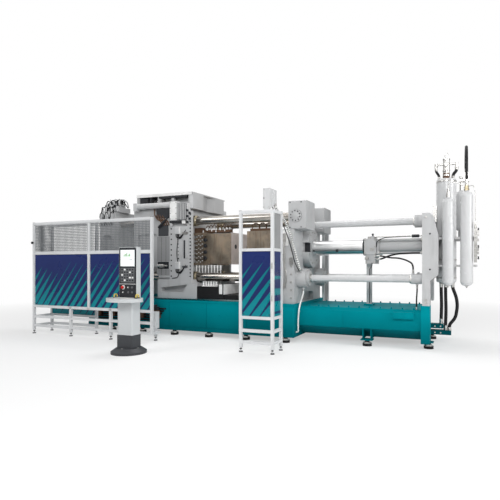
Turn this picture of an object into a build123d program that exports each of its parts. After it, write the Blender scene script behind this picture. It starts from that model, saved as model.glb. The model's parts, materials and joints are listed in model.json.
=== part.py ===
from build123d import *
import math
import os

# Cold-chamber die casting machine, in millimetres.
# Lengths along the machine are measured from the die side of the fixed platen, widths from
# the machine's centreline (operator side negative) and heights from the floor.
# The origin is the middle of the whole plant's floor plan, and this is where the machine's
# own zero lies from it.
DATUM_X = 958.0
DATUM_Y = 618.0

# Tie bars and platens
AXIS_Z = 1880.0
BAR_D = 180.0
BAR_SPACING = 1250.0
BAR_CLEAR = 0.3
PLATEN_MARGIN = 270.0
PLATEN_TOP_Z = 2780.0
MOVING_TOP_Z = 2720.0
HOUSING_TOP_Z = 2820.0
CORNER_Z = 2450.0
CORNER_HALF = 750.0
CHEEK_TOP_Z = 2370.0
CHEEK_STRIP_Z = 2700.0
CHEEK_STRIP_L = 125.0
CHEEK_OUT = 200.0
PLATE_T = 150.0
BAND_T = 115.0
LOCK_BOX = 560.0
LOCK_BOX_L = 370.0
LOCK_CAN_D = 380.0
LOCK_CAN_L = 205.0
LOCK_FLANGE_D = 300.0
LOCK_FLANGE_T = 50.0
HUB_D = 820.0
HUB_BORE_D = 420.0
HUB_T = 125.0
HUB_SLOT_H = 200.0

# Die, with the gap that it stands open by
FIXED_DIE_T = 946.0
FIXED_CAVITY_T = 261.0
DIE_GAP = 388.0
MOVING_DIE_T = 607.0
CLAMP_PLATE_T = 104.0
EJECTOR_T = 245.0
DIE_CLEAR = 15.0
DIE_H = 730.0

# Moving platen and what travels with it
OPEN_TRAVEL = 330.0
MOVING_PLATEN_T = 385.0
REAR_BODY_T = 344.0
REAR_HOUSING_L = 771.0
REAR_HOUSING_W = 1480.0
SIDE_PAD_T = 45.0
BUSH_D = 235.0
BUSH_OUT = 173.0
SHOE_L = 1025.0
SHOE_H = 420.0
SHOE_IN = 25.0
ROOF_Z = 3150.0
ROOF_T = 30.0
HOOD_H = 370.0
HOOD_INSET = 155.0
HOOD_OUT = 100.0
ROOF_IN = 73.0

# End platen and closing cylinder
END_PLATEN_X = -4240.0
END_PLATEN_T = 450.0
BAR_NUT_D = 300.0
BAR_NUT_T = 150.0
BAR_TAIL = 40.0
CLOSING_BARREL_D = 300.0
CLOSING_FLANGE_T = 60.0
CLOSING_FLANGE_OUT = 70.0
CLOSING_CAP_T = 50.0
CLOSING_CAP_OUT = 20.0
CLOSING_BARREL_L = 440.0
CLOSING_ROD_D = 120.0

# Bases
BASE_Z = 100.0
BASE_TOP = 750.0
BASE_W = 2020.0
BASE_LEFT = -4915.0
BASE_RIGHT = 300.0
BASE_LIP = 15.0
RAIL_T = 30.0
RAIL_W = 220.0
RAIL_OUT = 75.0
FOOT_D = 170.0
SHOT_BASE_TOP = 700.0
SHOT_BASE_FOLD_Z = 640.0
SHOT_BASE_BREAK_Z = 330.0
SHOT_BASE_BOTTOM_Z = 125.0
SHOT_BASE_W = 1580.0
SHOT_BASE_FOLD_IN = 90.0
SHOT_BASE_KEEL_IN = 370.0
SHOT_BASE_TOP_W = SHOT_BASE_W - 2 * SHOT_BASE_FOLD_IN
SHOT_BASE_BOTTOM_W = SHOT_BASE_W - 2 * SHOT_BASE_KEEL_IN
SHOT_BASE_RIGHT = 2629.0

# Shot unit
SHOT_Z = 1885.0
SLEEVE_D = 200.0
SLEEVE_BORE_D = 120.0
SLEEVE_OUT = 105.0
PLUNGER_TIP_L = 100.0
PLUNGER_ROD_D = 100.0
PLUNGER_TRAVEL = 300.0
FRONT_CYLINDER_X = 400.0
FRONT_CYLINDER_L = 1066.0
END_RING_L = 45.0
FRONT_CYLINDER_D = 290.0
VALVE_BLOCK_L = 238.0
REAR_CYLINDER_D = 230.0
ROD_D = 137.0
LOWER_ROD_D = 127.0
UPPER_ROD_Z = 2373.0
FRAME_X = 2653.0
FRAME_T = 264.0
FRAME_NECK_T = 130.0
FRAME_OUT = 50.0
FRAME_W = SHOT_BASE_W + 2 * FRAME_OUT
FRAME_TOP_Z = 2435.0
FRAME_SLOPE_H = 395.0
FRAME_SHOULDER_Z = 1230.0
PORTAL_TOP_Z = 1180.0
LEG_W = 330.0

# Accumulators
BOTTLE_D = 210.0
BOTTLE_H = 1600.0
BOTTLE_Z = 1140.0
BOTTLE_Y = -490.0
BOTTLE_LEFT_X = 3076.0
BOTTLE_PITCH = 307.0
PISTON_D = 354.0
PISTON_X = 3038.0
PISTON_Y = -90.0
PISTON_Z = 1190.0
PISTON_TOP_Z = 3136.0
REAR_BOTTLE_X = 3300.0
REAR_BOTTLE_Y = 210.0
REAR_BOTTLE_Z = 2170.0
REAR_BOTTLE_TOP_Z = 2966.0

# Guards
GUARD_H = 2455.0
POST = 50.0
GUARD_LEFT = -5500.0
GUARD_RIGHT = -2240.0
GUARD_MULLION = -3870.0
GUARD_FRONT_Y = -2064.0
GUARD_BACK_Y = -1600.0
GUARD_MID_Z = 1750.0
GUARD_PANEL_Z = 580.0
GUARD_RAIL_ZS = (152.0, 352.0)
REAR_GUARD_RIGHT = -2700.0
SHEET_T = 6.0
TOWER_LEFT = -283.0
TOWER_RIGHT = 365.0
TOWER_FRONT_Y = -2200.0
TOWER_BACK_Y = -1764.0
REAR_TOWER_RIGHT = 320.0
REAR_TOWER_Y = 1040.0
LEVEL_FOOT_D = 70.0
LEVEL_FOOT_H = 80.0

# Console
CONSOLE_X = -1998.0
CONSOLE_Y = -3000.0
CONSOLE_FOOT_D = 600.0
CONSOLE_H = 1820.0

BAR_HALF = BAR_SPACING / 2
BAR_PLACES = [(y, AXIS_Z + z) for z in (BAR_HALF, -BAR_HALF) for y in (-BAR_HALF, BAR_HALF)]
UPPER_PLACES = BAR_PLACES[:2]
LOWER_PLACES = BAR_PLACES[2:]
PLATEN_HALF = BAR_HALF + PLATEN_MARGIN
DIE_W = BAR_SPACING - BAR_D - 2 * DIE_CLEAR
RAIL_Y = BAR_HALF + RAIL_OUT
HOOD_HALF = PLATEN_HALF - HOOD_INSET
MOVING_DIE_X = -FIXED_DIE_T - DIE_GAP
MOVING_FACE_X = MOVING_DIE_X - MOVING_DIE_T - CLAMP_PLATE_T - EJECTOR_T
MOVING_BACK_X = MOVING_FACE_X - MOVING_PLATEN_T
CHEEK_X = MOVING_FACE_X + CHEEK_OUT
REAR_BODY_X = MOVING_BACK_X - REAR_BODY_T
HOUSING_LEFT = REAR_BODY_X - REAR_HOUSING_L
LOCK_RIGHT = PLATE_T + LOCK_BOX_L
END_LEFT = END_PLATEN_X - END_PLATEN_T
RAIL_TOP = BASE_TOP + RAIL_T
SLIDE_CLEAR = 0.3
VALVE_BLOCK_X = FRONT_CYLINDER_X + FRONT_CYLINDER_L + END_RING_L
REAR_CYLINDER_X = VALVE_BLOCK_X + VALVE_BLOCK_L
BOTTLE_X = (BOTTLE_LEFT_X, BOTTLE_LEFT_X + BOTTLE_PITCH)
SLEEVE_END = PLATE_T + BAND_T + SLEEVE_OUT
# Details of the bases
PANEL_SEAM = 940.0
END_PANEL = 1022.0
SEAM_W = 14.0
SEAM_DEPTH = 8.0
BASE_FLANGE_H = 35.0
FOOT_IN = 177.0
FOOT_PITCH = 866.0
FOOT_EDGE = 100.0
SHOT_FOOT_IN = 54.0
FRAME_FOOT_IN = 250.0
SHOT_FEET = ((1668.0, SHOT_BASE_W / 2 - SHOT_FOOT_IN), (2750.0, FRAME_W / 2 - FRAME_FOOT_IN))
SHOT_FOOT_Z = 110.0
PAD_H = 45.0
FOOT_PLATE_T = 20.0
GUSSET_T = 20.0
STAND_L = 155.0
FAR_STAND_L = 60.0
TANK_COVER_OUT = 60.0
STAND_TOP = BASE_TOP + 40

# Details of the clamp
GLAND_D = 70.0
GLAND_OUT = 30.0
GLAND_TILT = 48.0
SLEEVE_IN = 50.0
CAP_T = 30.0
VALVES_IN = 125.0
VALVES_L = 225.0
BUSH_PLAY = 6.0
SHOE_NOSE_L = 115.0
PLATEN_LOW = RAIL_TOP + SHOE_H
CLOSING_ROD_TAIL = 970.0
TOP_CYLINDER_D = 135.0
TOP_CYLINDER_Z = 2866.0
TOP_CYLINDER_Y = PLATEN_HALF - 75
TOP_BLOCK_Z = 2504.0
TOP_BLOCK_L = 188.0
RIBBED_BLOCK_L = 259.0
COVER_STEP_X = -1330.0
COVER_END_X = -700.0
COVER_Z0 = RAIL_TOP + 5
COVER_HALF = PLATEN_HALF - 15

# Details of the shot unit
TIP_CLEAR = 0.5
BOSS_D = 178.0
BOSS_L = 200.0
TOP_BOSS_L = 191.0
TOP_BOSS_D = 246.0
PORT_IN = 100.0
TOP_PORT_IN = 170.0
SUPPORT_IN = 65.0
SUPPORT_FOOT_L = 180.0
SUPPORT_FOOT_W = 260.0
SUPPORT_FOOT_T = 30.0
SUPPORT_L = 90.0
SUPPORT_W = 140.0
SUPPORT_DOWN = 345.0
PORT_OUT = 20.0
PORT_D = 50.0
FLANGE_REACH = REAR_CYLINDER_D / 2 + 12
CYLINDER_TIE_D = 42.0

# Details of the accumulators
RACK_T = 40.0
RACK_ZS = (1480.0, 1980.0)
RACK_RIGHT = 3560.0
HEAD_Z = 3300.0
HEAD_NECK_D = 92.0
HEAD_COLLAR_D = 130.0
HEAD_D = 118.0
ELBOW_OUT = 181.0
HEAD_LEFT_X = PISTON_X - ELBOW_OUT
HEAD_RIGHT_X = PISTON_X + ELBOW_OUT
ELBOW_LOW = 60.0
BOTTLE_STEP = 100.0
BOTTLE_FITTING_D = 56.0
FITTING_H = 110.0
CAP_TOP_Z = REAR_BOTTLE_TOP_Z + 320
CAP_H = 163.0
VALVE_RAIL_X = 3525.0
VALVE_RAIL_Z = BOTTLE_Z + 420
VALVE_RAIL_H = 710.0
MANIFOLD_TOP_Z = 400.0
MANIFOLD_LOW_Z = 282.0
MANIFOLD_T = 81.0
SIDE_BLOCK_Z = 2330.0
SIDE_BLOCK_TOP_Z = 2640.0

# Hoses and leads
HOSE_D = 60.0
SIDE_HOSE_D = 45.0
RIGHT_HOSE_D = 56.0
ARCH_HOSE_D = 50.0
SHOT_HOSE_D = 34.0
FRAME_HOSE_D = 30.0
SMALL_HOSE_D = 26.0
CONDUIT_D = 44.0
LEAD_D = 30.0

# Junction box on the tower
BOX_W = 127.0
BOX_D = 302.0
BOX_H = 340.0
BOX_RIGHT = TOWER_RIGHT - 60
BOX_BACK_Y = TOWER_FRONT_Y + BOX_D
BRACKET_H = 24.0
BOX_LOW_Z = GUARD_H + BRACKET_H
BOX_TOP_Z = BOX_LOW_Z + BOX_H
CHAMFER_W = 242.0
CHAMFER_H = 135.0
CONDUIT_IN = 32.0
CONDUIT_ROUTE = ((290, -1500, 2361), (302, -1250, 2139), (317, -1080, 1900))
LEAD_SHARE = 9 / 22
LEAD_Y = -(SHOT_BASE_W + LEAD_SHARE * (BASE_W - SHOT_BASE_W)) / 2

# Details of the guards
GUARD_LEGS = (-4380.0, -3290.0)
GUARD_BACK_RIGHT = -4125.0
GUARD_CORNER_X = -2360.0
GUARD_CORNER_Y = -1800.0
COVER_Z = 250.0
COVER_H = 330.0

# Details of the console
COLUMN_W = 320.0
COLUMN_D = 220.0
PLINTH_Z = 95.0
PLINTH_TOP = 320.0
TRAY_Z = 890.0
TRAY_HALF_W = 345.0
TRAY_HALF_D = 230.0
TRAY_OUT = 110.0
TRAY_RIM_H = 60.0
TRAY_WALL = 22.0
TRAY_FLOOR = 30.0
HEAD_W = 390.0


def block(x0, x1, y0, y1, z0, z1):
    size = Box(x1 - x0, y1 - y0, z1 - z0)
    return Pos((x0 + x1) / 2, (y0 + y1) / 2, (z0 + z1) / 2) * size


def bar_x(x0, x1, y, z, diameter):
    rod = Rot(0, 90, 0) * Cylinder(diameter / 2, x1 - x0)
    return Pos((x0 + x1) / 2, y, z) * rod


def bar_y(y0, y1, x, z, diameter):
    rod = Rot(90, 0, 0) * Cylinder(diameter / 2, y1 - y0)
    return Pos(x, (y0 + y1) / 2, z) * rod


def bar_z(z0, z1, x, y, diameter):
    return Pos(x, y, (z0 + z1) / 2) * Cylinder(diameter / 2, z1 - z0)


def profile_y(points, y0, y1):
    """A closed outline in the X-Z plane, carried from y0 to y1."""
    face = make_face(Polyline(*[(x, 0, z) for x, z in points], close=True))
    return Pos(0, y0, 0) * extrude(face, amount=y1 - y0, dir=(0, 1, 0))


def profile_x(points, x0, x1):
    """A closed outline in the Y-Z plane, carried from x0 to x1."""
    face = make_face(Polyline(*[(0, y, z) for y, z in points], close=True))
    return Pos(x0, 0, 0) * extrude(face, amount=x1 - x0, dir=(1, 0, 0))


def profile_z(points, z0, z1):
    """A closed outline in plan, carried from z0 to z1."""
    face = make_face(Polyline(*[(x, y, 0) for x, y in points], close=True))
    return Pos(0, 0, z0) * extrude(face, amount=z1 - z0, dir=(0, 0, 1))


def softened(shape, radius, axis):
    """Rounds the edges that run along one axis."""
    return fillet(shape.edges().filter_by(axis), radius)


def hose(points, diameter):
    """A tube along straight runs joined by arcs as large as the runs allow."""
    radii = []
    for before, corner, after in zip(points, points[1:], points[2:]):
        run_in = Vector(*corner) - Vector(*before)
        run_out = Vector(*after) - Vector(*corner)
        turn = math.radians(run_in.get_angle(run_out))
        radii.append(0.45 * min(run_in.length, run_out.length) / math.tan(turn / 2))
    path = FilletPolyline(*points, radius=radii)
    section = Plane(origin=path @ 0, z_dir=path % 0) * Circle(diameter / 2)
    tube = sweep(section, path=path)
    expected = math.pi * diameter**2 / 4 * path.length
    print("hose", round(path.length), "mm, volume share", round(tube.volume / expected, 4))
    print("  smallest radius", round(min(radii)), "mm on a diameter of", diameter)
    return tube


def save(name, *pieces):
    """Writes one named piece, set from the machine's zero to the part's origin."""
    solids = [s for piece in pieces for s in piece.solids()]
    shape = solids[0] if len(solids) == 1 else Compound(solids)
    shape = Pos(DATUM_X, DATUM_Y, 0) * shape
    shape.label = name
    export_step(shape, os.path.join("parts", name + ".step"))


# Bases


def clamp_base():
    half = BASE_W / 2
    body = block(BASE_LEFT, BASE_RIGHT, -half, half, BASE_Z, BASE_TOP)
    body += block(BASE_LEFT, BASE_RIGHT, -half - BASE_LIP, half + BASE_LIP,
                  BASE_TOP - BASE_FLANGE_H, BASE_TOP)
    body += block(BASE_LEFT, BASE_RIGHT, -half - BASE_LIP, half + BASE_LIP,
                  BASE_Z, BASE_Z + 2 * BASE_FLANGE_H)
    first_seam = BASE_RIGHT - END_PANEL
    seams = int((first_seam - BASE_LEFT) // PANEL_SEAM) + 1
    for side in (-half, half):
        for i in range(seams):
            x = first_seam - i * PANEL_SEAM
            body -= block(x - SEAM_W / 2, x + SEAM_W / 2, side - SEAM_DEPTH, side + SEAM_DEPTH,
                          BASE_Z + 2 * BASE_FLANGE_H, BASE_TOP - BASE_FLANGE_H)
    # Recessed cover beside the fixed platen
    for side in (-half, half):
        body -= block(BASE_RIGHT - 280, BASE_RIGHT - 40, side - 12, side + 12,
                      BASE_Z + 110, BASE_TOP - 140)
    return body


def machine_feet():
    """Black levelling feet: a wide pad, and a short neck up to the base."""
    feet = []
    inset = BASE_W / 2 - 20
    first = BASE_RIGHT - FOOT_IN
    count = int((first - BASE_LEFT - FOOT_EDGE) // FOOT_PITCH) + 1
    for i in range(count):
        x = first - i * FOOT_PITCH
        for y in (-inset, inset):
            pad = bar_z(0, PAD_H, x, y, FOOT_D)
            feet.append(pad + bar_z(PAD_H, BASE_Z, x, y, FOOT_D * 0.5))
    for x, y in SHOT_FEET:
        for side in (-y, y):
            pad = bar_z(0, PAD_H, x, side, FOOT_D)
            feet.append(pad + bar_z(PAD_H, SHOT_FOOT_Z, x, side, FOOT_D * 0.5))
    return feet


def shot_base():
    """Trough-shaped tank with a folded side, its foot brackets and the end frame's stands."""
    right = [(SHOT_BASE_TOP_W / 2, SHOT_BASE_TOP), (SHOT_BASE_W / 2, SHOT_BASE_FOLD_Z),
             (SHOT_BASE_W / 2, SHOT_BASE_BREAK_Z), (SHOT_BASE_BOTTOM_W / 2, SHOT_BASE_BOTTOM_Z)]
    left = [(-y, z) for y, z in reversed(right)]
    body = profile_x(right + left, BASE_RIGHT, SHOT_BASE_RIGHT)
    seam_x = BASE_RIGHT + 920
    face = SHOT_BASE_W / 2
    for side in (-1, 1):
        y0, y1 = sorted((side * (face - 6), side * (face + 6)))
        body -= block(seam_x - 5, seam_x + 5, y0, y1, SHOT_BASE_BREAK_Z, SHOT_BASE_FOLD_Z)
        y0, y1 = sorted((side * SHOT_BASE_TOP_W / 2, side * (face + TANK_COVER_OUT)))
        body += block(SHOT_BASE_RIGHT - 480, SHOT_BASE_RIGHT - 120, y0, y1,
                      SHOT_BASE_FOLD_Z - 100, SHOT_BASE_FOLD_Z + 20)
    # Foot brackets: a plate on the foot, with two gussets up to the sloping side
    foot_x, foot_y = SHOT_FEET[0]
    for side in (-1, 1):
        plate = block(foot_x - 110, foot_x + 110, side * foot_y - 100, side * foot_y + 100,
                      SHOT_FOOT_Z, SHOT_FOOT_Z + FOOT_PLATE_T)
        body += plate
        for x in (foot_x - 85, foot_x + 65):
            y0, y1 = sorted((side * (foot_y - 330), side * (foot_y + 40)))
            body += block(x, x + GUSSET_T, y0, y1, SHOT_FOOT_Z + FOOT_PLATE_T,
                          SHOT_BASE_BREAK_Z + 10)
    # Stands under the end frame, longer on the operator's side
    end_x, end_y = SHOT_FEET[1]
    x0 = SHOT_BASE_RIGHT
    inner = FRAME_W / 2 - LEG_W
    plate_top = SHOT_FOOT_Z + FOOT_PLATE_T
    for side, reach in ((-1, STAND_L), (1, FAR_STAND_L)):
        y0, y1 = sorted((side * FRAME_W / 2, side * inner))
        body += block(x0, x0 + reach, y0, y1, SHOT_FOOT_Z, STAND_TOP)
        body += block(x0, end_x + FOOT_D / 2, side * end_y - FOOT_D / 2, side * end_y + FOOT_D / 2,
                      SHOT_FOOT_Z, plate_top)
    body += block(x0, x0 + FAR_STAND_L, -inner, inner, SHOT_FOOT_Z, SHOT_BASE_FOLD_Z)
    return body


def slide_rails():
    return [block(MOVING_BACK_X - OPEN_TRAVEL - 500, -60, side * RAIL_Y - RAIL_W / 2,
                  side * RAIL_Y + RAIL_W / 2, BASE_TOP, RAIL_TOP) for side in (-1, 1)]


# Clamp, fixed side


def fixed_platen():
    """Plate with its upper corners cut away, a thick middle band and a round hub at the back."""
    band_top = AXIS_Z + BAR_HALF - LOCK_BOX / 2
    gap = BAR_HALF - LOCK_BOX / 2
    plate = block(0, PLATE_T, -PLATEN_HALF, PLATEN_HALF, BASE_TOP, band_top)
    band = block(PLATE_T, PLATE_T + BAND_T, -PLATEN_HALF, PLATEN_HALF, BASE_TOP, band_top)
    beam = block(0, PLATE_T + BAND_T, -gap, gap, band_top, PLATEN_TOP_Z - 60)
    beam = softened(beam, 40, Axis.X)
    body = plate + band + beam
    # Recess round the hub, with a low arched pocket under it
    recess = block(PLATE_T + 15, PLATE_T + BAND_T, -345, 345, AXIS_Z - 430, AXIS_Z + 430)
    body -= softened(recess, 120, Axis.X)
    arch = block(PLATE_T + 15, PLATE_T + BAND_T, -380, 380, BASE_TOP + 20, BASE_TOP + 200)
    arch_top = arch.edges().filter_by(Axis.X).sort_by(Axis.Z)[-2:]
    body -= fillet(arch_top, 110)
    hub_end = PLATE_T + BAND_T + HUB_T
    body += bar_x(PLATE_T, hub_end, 0, SHOT_Z, HUB_D)
    body -= bar_x(PLATE_T + BAND_T, hub_end, 0, SHOT_Z, HUB_BORE_D)
    body -= bar_x(0, PLATE_T + BAND_T, 0, SHOT_Z, SLEEVE_D + 2 * BAR_CLEAR)
    # Slot in the hub for the ladle, on the operator's side
    body -= block(PLATE_T + BAND_T, hub_end, -HUB_D / 2, 0, SHOT_Z - HUB_SLOT_H / 2,
                  SHOT_Z + HUB_SLOT_H / 2)
    for y, z in LOWER_PLACES:
        body -= bar_x(0, PLATE_T + BAND_T, y, z, BAR_D + 2 * BAR_CLEAR)
    return body


def bar_lock_housings():
    """Square housings on the upper bars, round ones with a flange on the lower bars."""
    pieces = []
    half = LOCK_BOX / 2
    for y, z in UPPER_PLACES:
        housing = block(PLATE_T, LOCK_RIGHT, y - half, y + half, z - half, z + half)
        housing = softened(housing, 30, Axis.X)
        side = -1 if y < 0 else 1
        y0, y1 = sorted((y + side * half, y + side * (half + 18)))
        housing += bar_y(y0, y1, PLATE_T + 150, z - 20, 250)
        housing -= bar_x(PLATE_T, LOCK_RIGHT - 40, y, z, BAR_D + 2 * BAR_CLEAR)
        pieces.append(housing)
    can_x = PLATE_T + BAND_T
    for y, z in LOWER_PLACES:
        can = bar_x(can_x, can_x + LOCK_CAN_L, y, z, LOCK_CAN_D)
        can += bar_x(can_x + LOCK_CAN_L, can_x + LOCK_CAN_L + LOCK_FLANGE_T, y, z, LOCK_FLANGE_D)
        side = -1 if y < 0 else 1
        gland_x = can_x + LOCK_CAN_L / 2
        reach = LOCK_CAN_D / 2 + GLAND_OUT
        for tilt in (GLAND_TILT, 180):
            gland = Pos(0, 0, reach / 2) * Cylinder(GLAND_D / 2, reach)
            can += Pos(gland_x, y, z) * Rot(-side * tilt, 0, 0) * gland
        can -= bar_x(can_x, can_x + LOCK_CAN_L - 40, y, z, BAR_D + 2 * BAR_CLEAR)
        pieces.append(can)
    return pieces


def tie_bars():
    pieces = []
    left = END_LEFT - BAR_NUT_T - BAR_TAIL
    for y, z in UPPER_PLACES:
        pieces.append(bar_x(left, LOCK_RIGHT - 40, y, z, BAR_D))
    for y, z in LOWER_PLACES:
        pieces.append(bar_x(left, PLATE_T + BAND_T + LOCK_CAN_L - 40, y, z, BAR_D))
    return pieces


def fixed_die_half():
    """Holder block with a cavity block before it and clamping grooves along its sides."""
    half_w = DIE_W / 2
    half_h = DIE_H / 2
    body = block(-FIXED_DIE_T, -1, -half_w, half_w, AXIS_Z - half_h, AXIS_Z + half_h)
    split = -FIXED_DIE_T + FIXED_CAVITY_T
    for side in (-half_w, half_w):
        body -= block(split - 6, split + 6, side - 8, side + 8, AXIS_Z - half_h, AXIS_Z + half_h)
        body -= block(-120, -80, side - 25, side + 25, AXIS_Z - half_h, AXIS_Z + half_h)
    cavity = block(-FIXED_DIE_T, -FIXED_DIE_T + 45, -260, 260, AXIS_Z - 180, AXIS_Z + 180)
    body -= softened(cavity, 60, Axis.X)
    body -= bar_x(-FIXED_DIE_T, -1, 0, SHOT_Z, SLEEVE_BORE_D)
    body -= bar_x(-SLEEVE_IN - 1, -1, 0, SHOT_Z, SLEEVE_D + 2 * BAR_CLEAR)
    return body


def end_platen():
    """Thick plate with rounded corners, a waist on each side and a rib round the rod bore."""
    left = END_LEFT
    half = PLATEN_HALF
    body = block(left, END_PLATEN_X, -half, half, BASE_TOP, PLATEN_TOP_Z)
    body = softened(body, 60, Axis.X)
    for side in (-half, half):
        waist = block(left + 90, END_PLATEN_X - 90, side - 120, side + 120,
                      AXIS_Z - 350, AXIS_Z + 350)
        body -= softened(waist, 80, Axis.Y)
    for y, z in BAR_PLACES:
        body -= bar_x(left, END_PLATEN_X, y, z, BAR_D + 2 * BAR_CLEAR)
    body += bar_x(END_PLATEN_X, END_PLATEN_X + 60, 0, AXIS_Z, CLOSING_BARREL_D)
    body -= bar_x(left, END_PLATEN_X + 60, 0, AXIS_Z, CLOSING_ROD_D + 2 * BAR_CLEAR)
    return body


def bar_nuts():
    pieces = []
    for y, z in BAR_PLACES:
        nut = bar_x(END_LEFT - BAR_NUT_T, END_LEFT, y, z, BAR_NUT_D)
        edge = nut.edges().filter_by(GeomType.CIRCLE).sort_by(Axis.X)[0]
        nut = chamfer(edge, 15)
        pieces.append(nut - bar_x(END_LEFT - BAR_NUT_T, END_LEFT, y, z, BAR_D + 2 * BAR_CLEAR))
    return pieces


def closing_cylinder():
    left = END_LEFT - CLOSING_BARREL_L
    barrel = bar_x(left, END_LEFT, 0, AXIS_Z, CLOSING_BARREL_D)
    barrel += bar_x(END_LEFT - CLOSING_FLANGE_T, END_LEFT, 0, AXIS_Z, CLOSING_BARREL_D + 2 * CLOSING_FLANGE_OUT)
    barrel += bar_x(left, left + CLOSING_CAP_T, 0, AXIS_Z, CLOSING_BARREL_D + 2 * CLOSING_CAP_OUT)
    return barrel - bar_x(left + CAP_T, END_LEFT, 0, AXIS_Z, CLOSING_ROD_D + 2 * BAR_CLEAR)


def clamp_valves():
    """Valve blocks, a pump motor and its tank block on top of the end platen."""
    top = PLATEN_TOP_Z
    left = END_LEFT + VALVES_IN
    outer = -PLATEN_HALF
    tank = block(left, left + 145, outer + 55, outer + 335, top, top + 190)
    tank = softened(tank, 20, Axis.Z)
    x0 = left + 160
    manifold = block(x0, x0 + VALVES_L, outer + 95, outer + 475, top, top + 110)
    for i in range(3):
        x = x0 + 45 + i * 65
        high = top + 190 + 25 * (i % 2)
        manifold += block(x - 24, x + 24, outer + 115, outer + 255, top + 110, high)
        manifold += bar_z(top + 110, top + 175, x, outer + 335, 46)
    motor = bar_z(top, top + 330, left + 40, outer + 495, 190)
    motor += bar_z(top + 330, top + 350, left + 40, outer + 495, 150)
    return [tank, manifold, motor]


# Clamp, moving side


def moving_platen():
    """Casting narrowed at its upper corners, with thick side cheeks that reach past its face."""
    back = MOVING_BACK_X
    face = MOVING_FACE_X
    half = PLATEN_HALF
    inner = half - SIDE_PAD_T
    low = PLATEN_LOW
    body = block(back, face, -inner, inner, low, CORNER_Z)
    body += block(back, face, -CORNER_HALF, CORNER_HALF, CORNER_Z, MOVING_TOP_Z)
    for side in (-1, 1):
        y0, y1 = sorted((side * half, side * inner))
        body += block(back, CHEEK_X, y0, y1, low, CHEEK_TOP_Z)
        body += block(CHEEK_X - CHEEK_STRIP_L, CHEEK_X, y0, y1, CHEEK_TOP_Z, CHEEK_STRIP_Z)
        body -= block(CHEEK_X - 90, CHEEK_X + 5, side * half - 14, side * half + 14,
                      AXIS_Z - 240, AXIS_Z + 190)
    for y, z in BAR_PLACES:
        body -= bar_x(back, face, y, z, BAR_D + 2 * BUSH_PLAY)
    return body


def bar_bushes():
    pieces = []
    for y, z in BAR_PLACES:
        bush = bar_x(MOVING_FACE_X, MOVING_FACE_X + BUSH_OUT, y, z, BUSH_D)
        edge = bush.edges().filter_by(GeomType.CIRCLE).sort_by(Axis.X)[-1]
        bush = chamfer(edge, 12)
        inner = bar_x(MOVING_FACE_X, MOVING_FACE_X + BUSH_OUT, y, z, BAR_D + 2 * BAR_CLEAR)
        pieces.append(bush - inner)
    return pieces


def platen_shoes():
    """Slide shoes under the moving platen, each with a long pocket in its outer side."""
    pieces = []
    x1 = CHEEK_X + SHOE_NOSE_L
    x0 = x1 - SHOE_L
    bar_low = AXIS_Z - BAR_HALF
    nose = bar_low - BUSH_D / 2 - 20
    bottom = RAIL_TOP + SLIDE_CLEAR
    top = PLATEN_LOW
    for side in (-1, 1):
        outer = side * PLATEN_HALF
        inner = side * (RAIL_Y - RAIL_W / 2 - SHOE_IN)
        y0, y1 = sorted((outer, inner))
        outline = [(x0, bottom), (x1, bottom), (x1, nose), (CHEEK_X, nose),
                   (CHEEK_X, top), (x0, top)]
        shoe = profile_y(outline, y0, y1)
        pocket = [(x0 + 90, bottom + 140), (x1 - 330, bottom + 140), (x1 - 250, bottom + 310),
                  (x0 + 90, bottom + 230)]
        p0, p1 = sorted((outer, outer - side * 150))
        shoe -= profile_y(pocket, p0, p1)
        shoe -= bar_x(x0, x1, side * BAR_HALF, bar_low, BAR_D + 2 * BUSH_PLAY)
        shoe -= bar_x(MOVING_FACE_X, CHEEK_X, side * BAR_HALF, bar_low, BUSH_D + 2 * BUSH_PLAY)
        pieces.append(shoe)
    return pieces


def platen_rear_body():
    """Rear body of the moving platen, and the long housing behind it between the bars."""
    back = MOVING_BACK_X
    half = PLATEN_HALF - 60
    low = PLATEN_LOW
    body = block(REAR_BODY_X, back, -half, half, low, MOVING_TOP_Z)
    body = softened(body, 60, Axis.X)
    hw = REAR_HOUSING_W / 2
    housing = block(HOUSING_LEFT, REAR_BODY_X, -hw, hw, AXIS_Z - 420, HOUSING_TOP_Z)
    housing = softened(housing, 40, Axis.X)
    body += housing
    for side in (-1, 1):
        pocket = block(HOUSING_LEFT + 120, REAR_BODY_X - 120, side * hw - 60, side * hw + 60,
                       AXIS_Z - 300, AXIS_Z + 350)
        body -= softened(pocket, 60, Axis.Y)
    for y, z in BAR_PLACES:
        body -= bar_x(HOUSING_LEFT, back, y, z, BAR_D + 2 * BUSH_PLAY)
    return body


def closing_rod():
    """Rod from the closing cylinder, with the flange that pushes the moving platen."""
    tail = HOUSING_LEFT - CLOSING_ROD_TAIL
    rod = bar_x(tail, HOUSING_LEFT, 0, AXIS_Z, CLOSING_ROD_D)
    return rod + bar_x(HOUSING_LEFT - 45, HOUSING_LEFT, 0, AXIS_Z, CLOSING_ROD_D + 120)


def ejector_box():
    """Open frame behind the moving die half, with rows of pillars and ejector plates."""
    x0 = MOVING_FACE_X
    x1 = x0 + EJECTOR_T
    half_w = DIE_W / 2
    half_h = DIE_H / 2
    body = block(x0, x1, -half_w, half_w, AXIS_Z + half_h - 60, AXIS_Z + half_h)
    body += block(x0, x1, -half_w, half_w, AXIS_Z - half_h, AXIS_Z - half_h + 60)
    body += block(x0, x1, -half_w + 90, half_w - 90, AXIS_Z - half_h, AXIS_Z + half_h)
    pitch = 88.0
    count = int((DIE_H - 120) // pitch)
    start = AXIS_Z - (count - 1) * pitch / 2
    for side in (-1, 1):
        for i in range(count):
            body += bar_x(x0, x1, side * (half_w - 45), start + i * pitch, 44)
    return body


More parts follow.
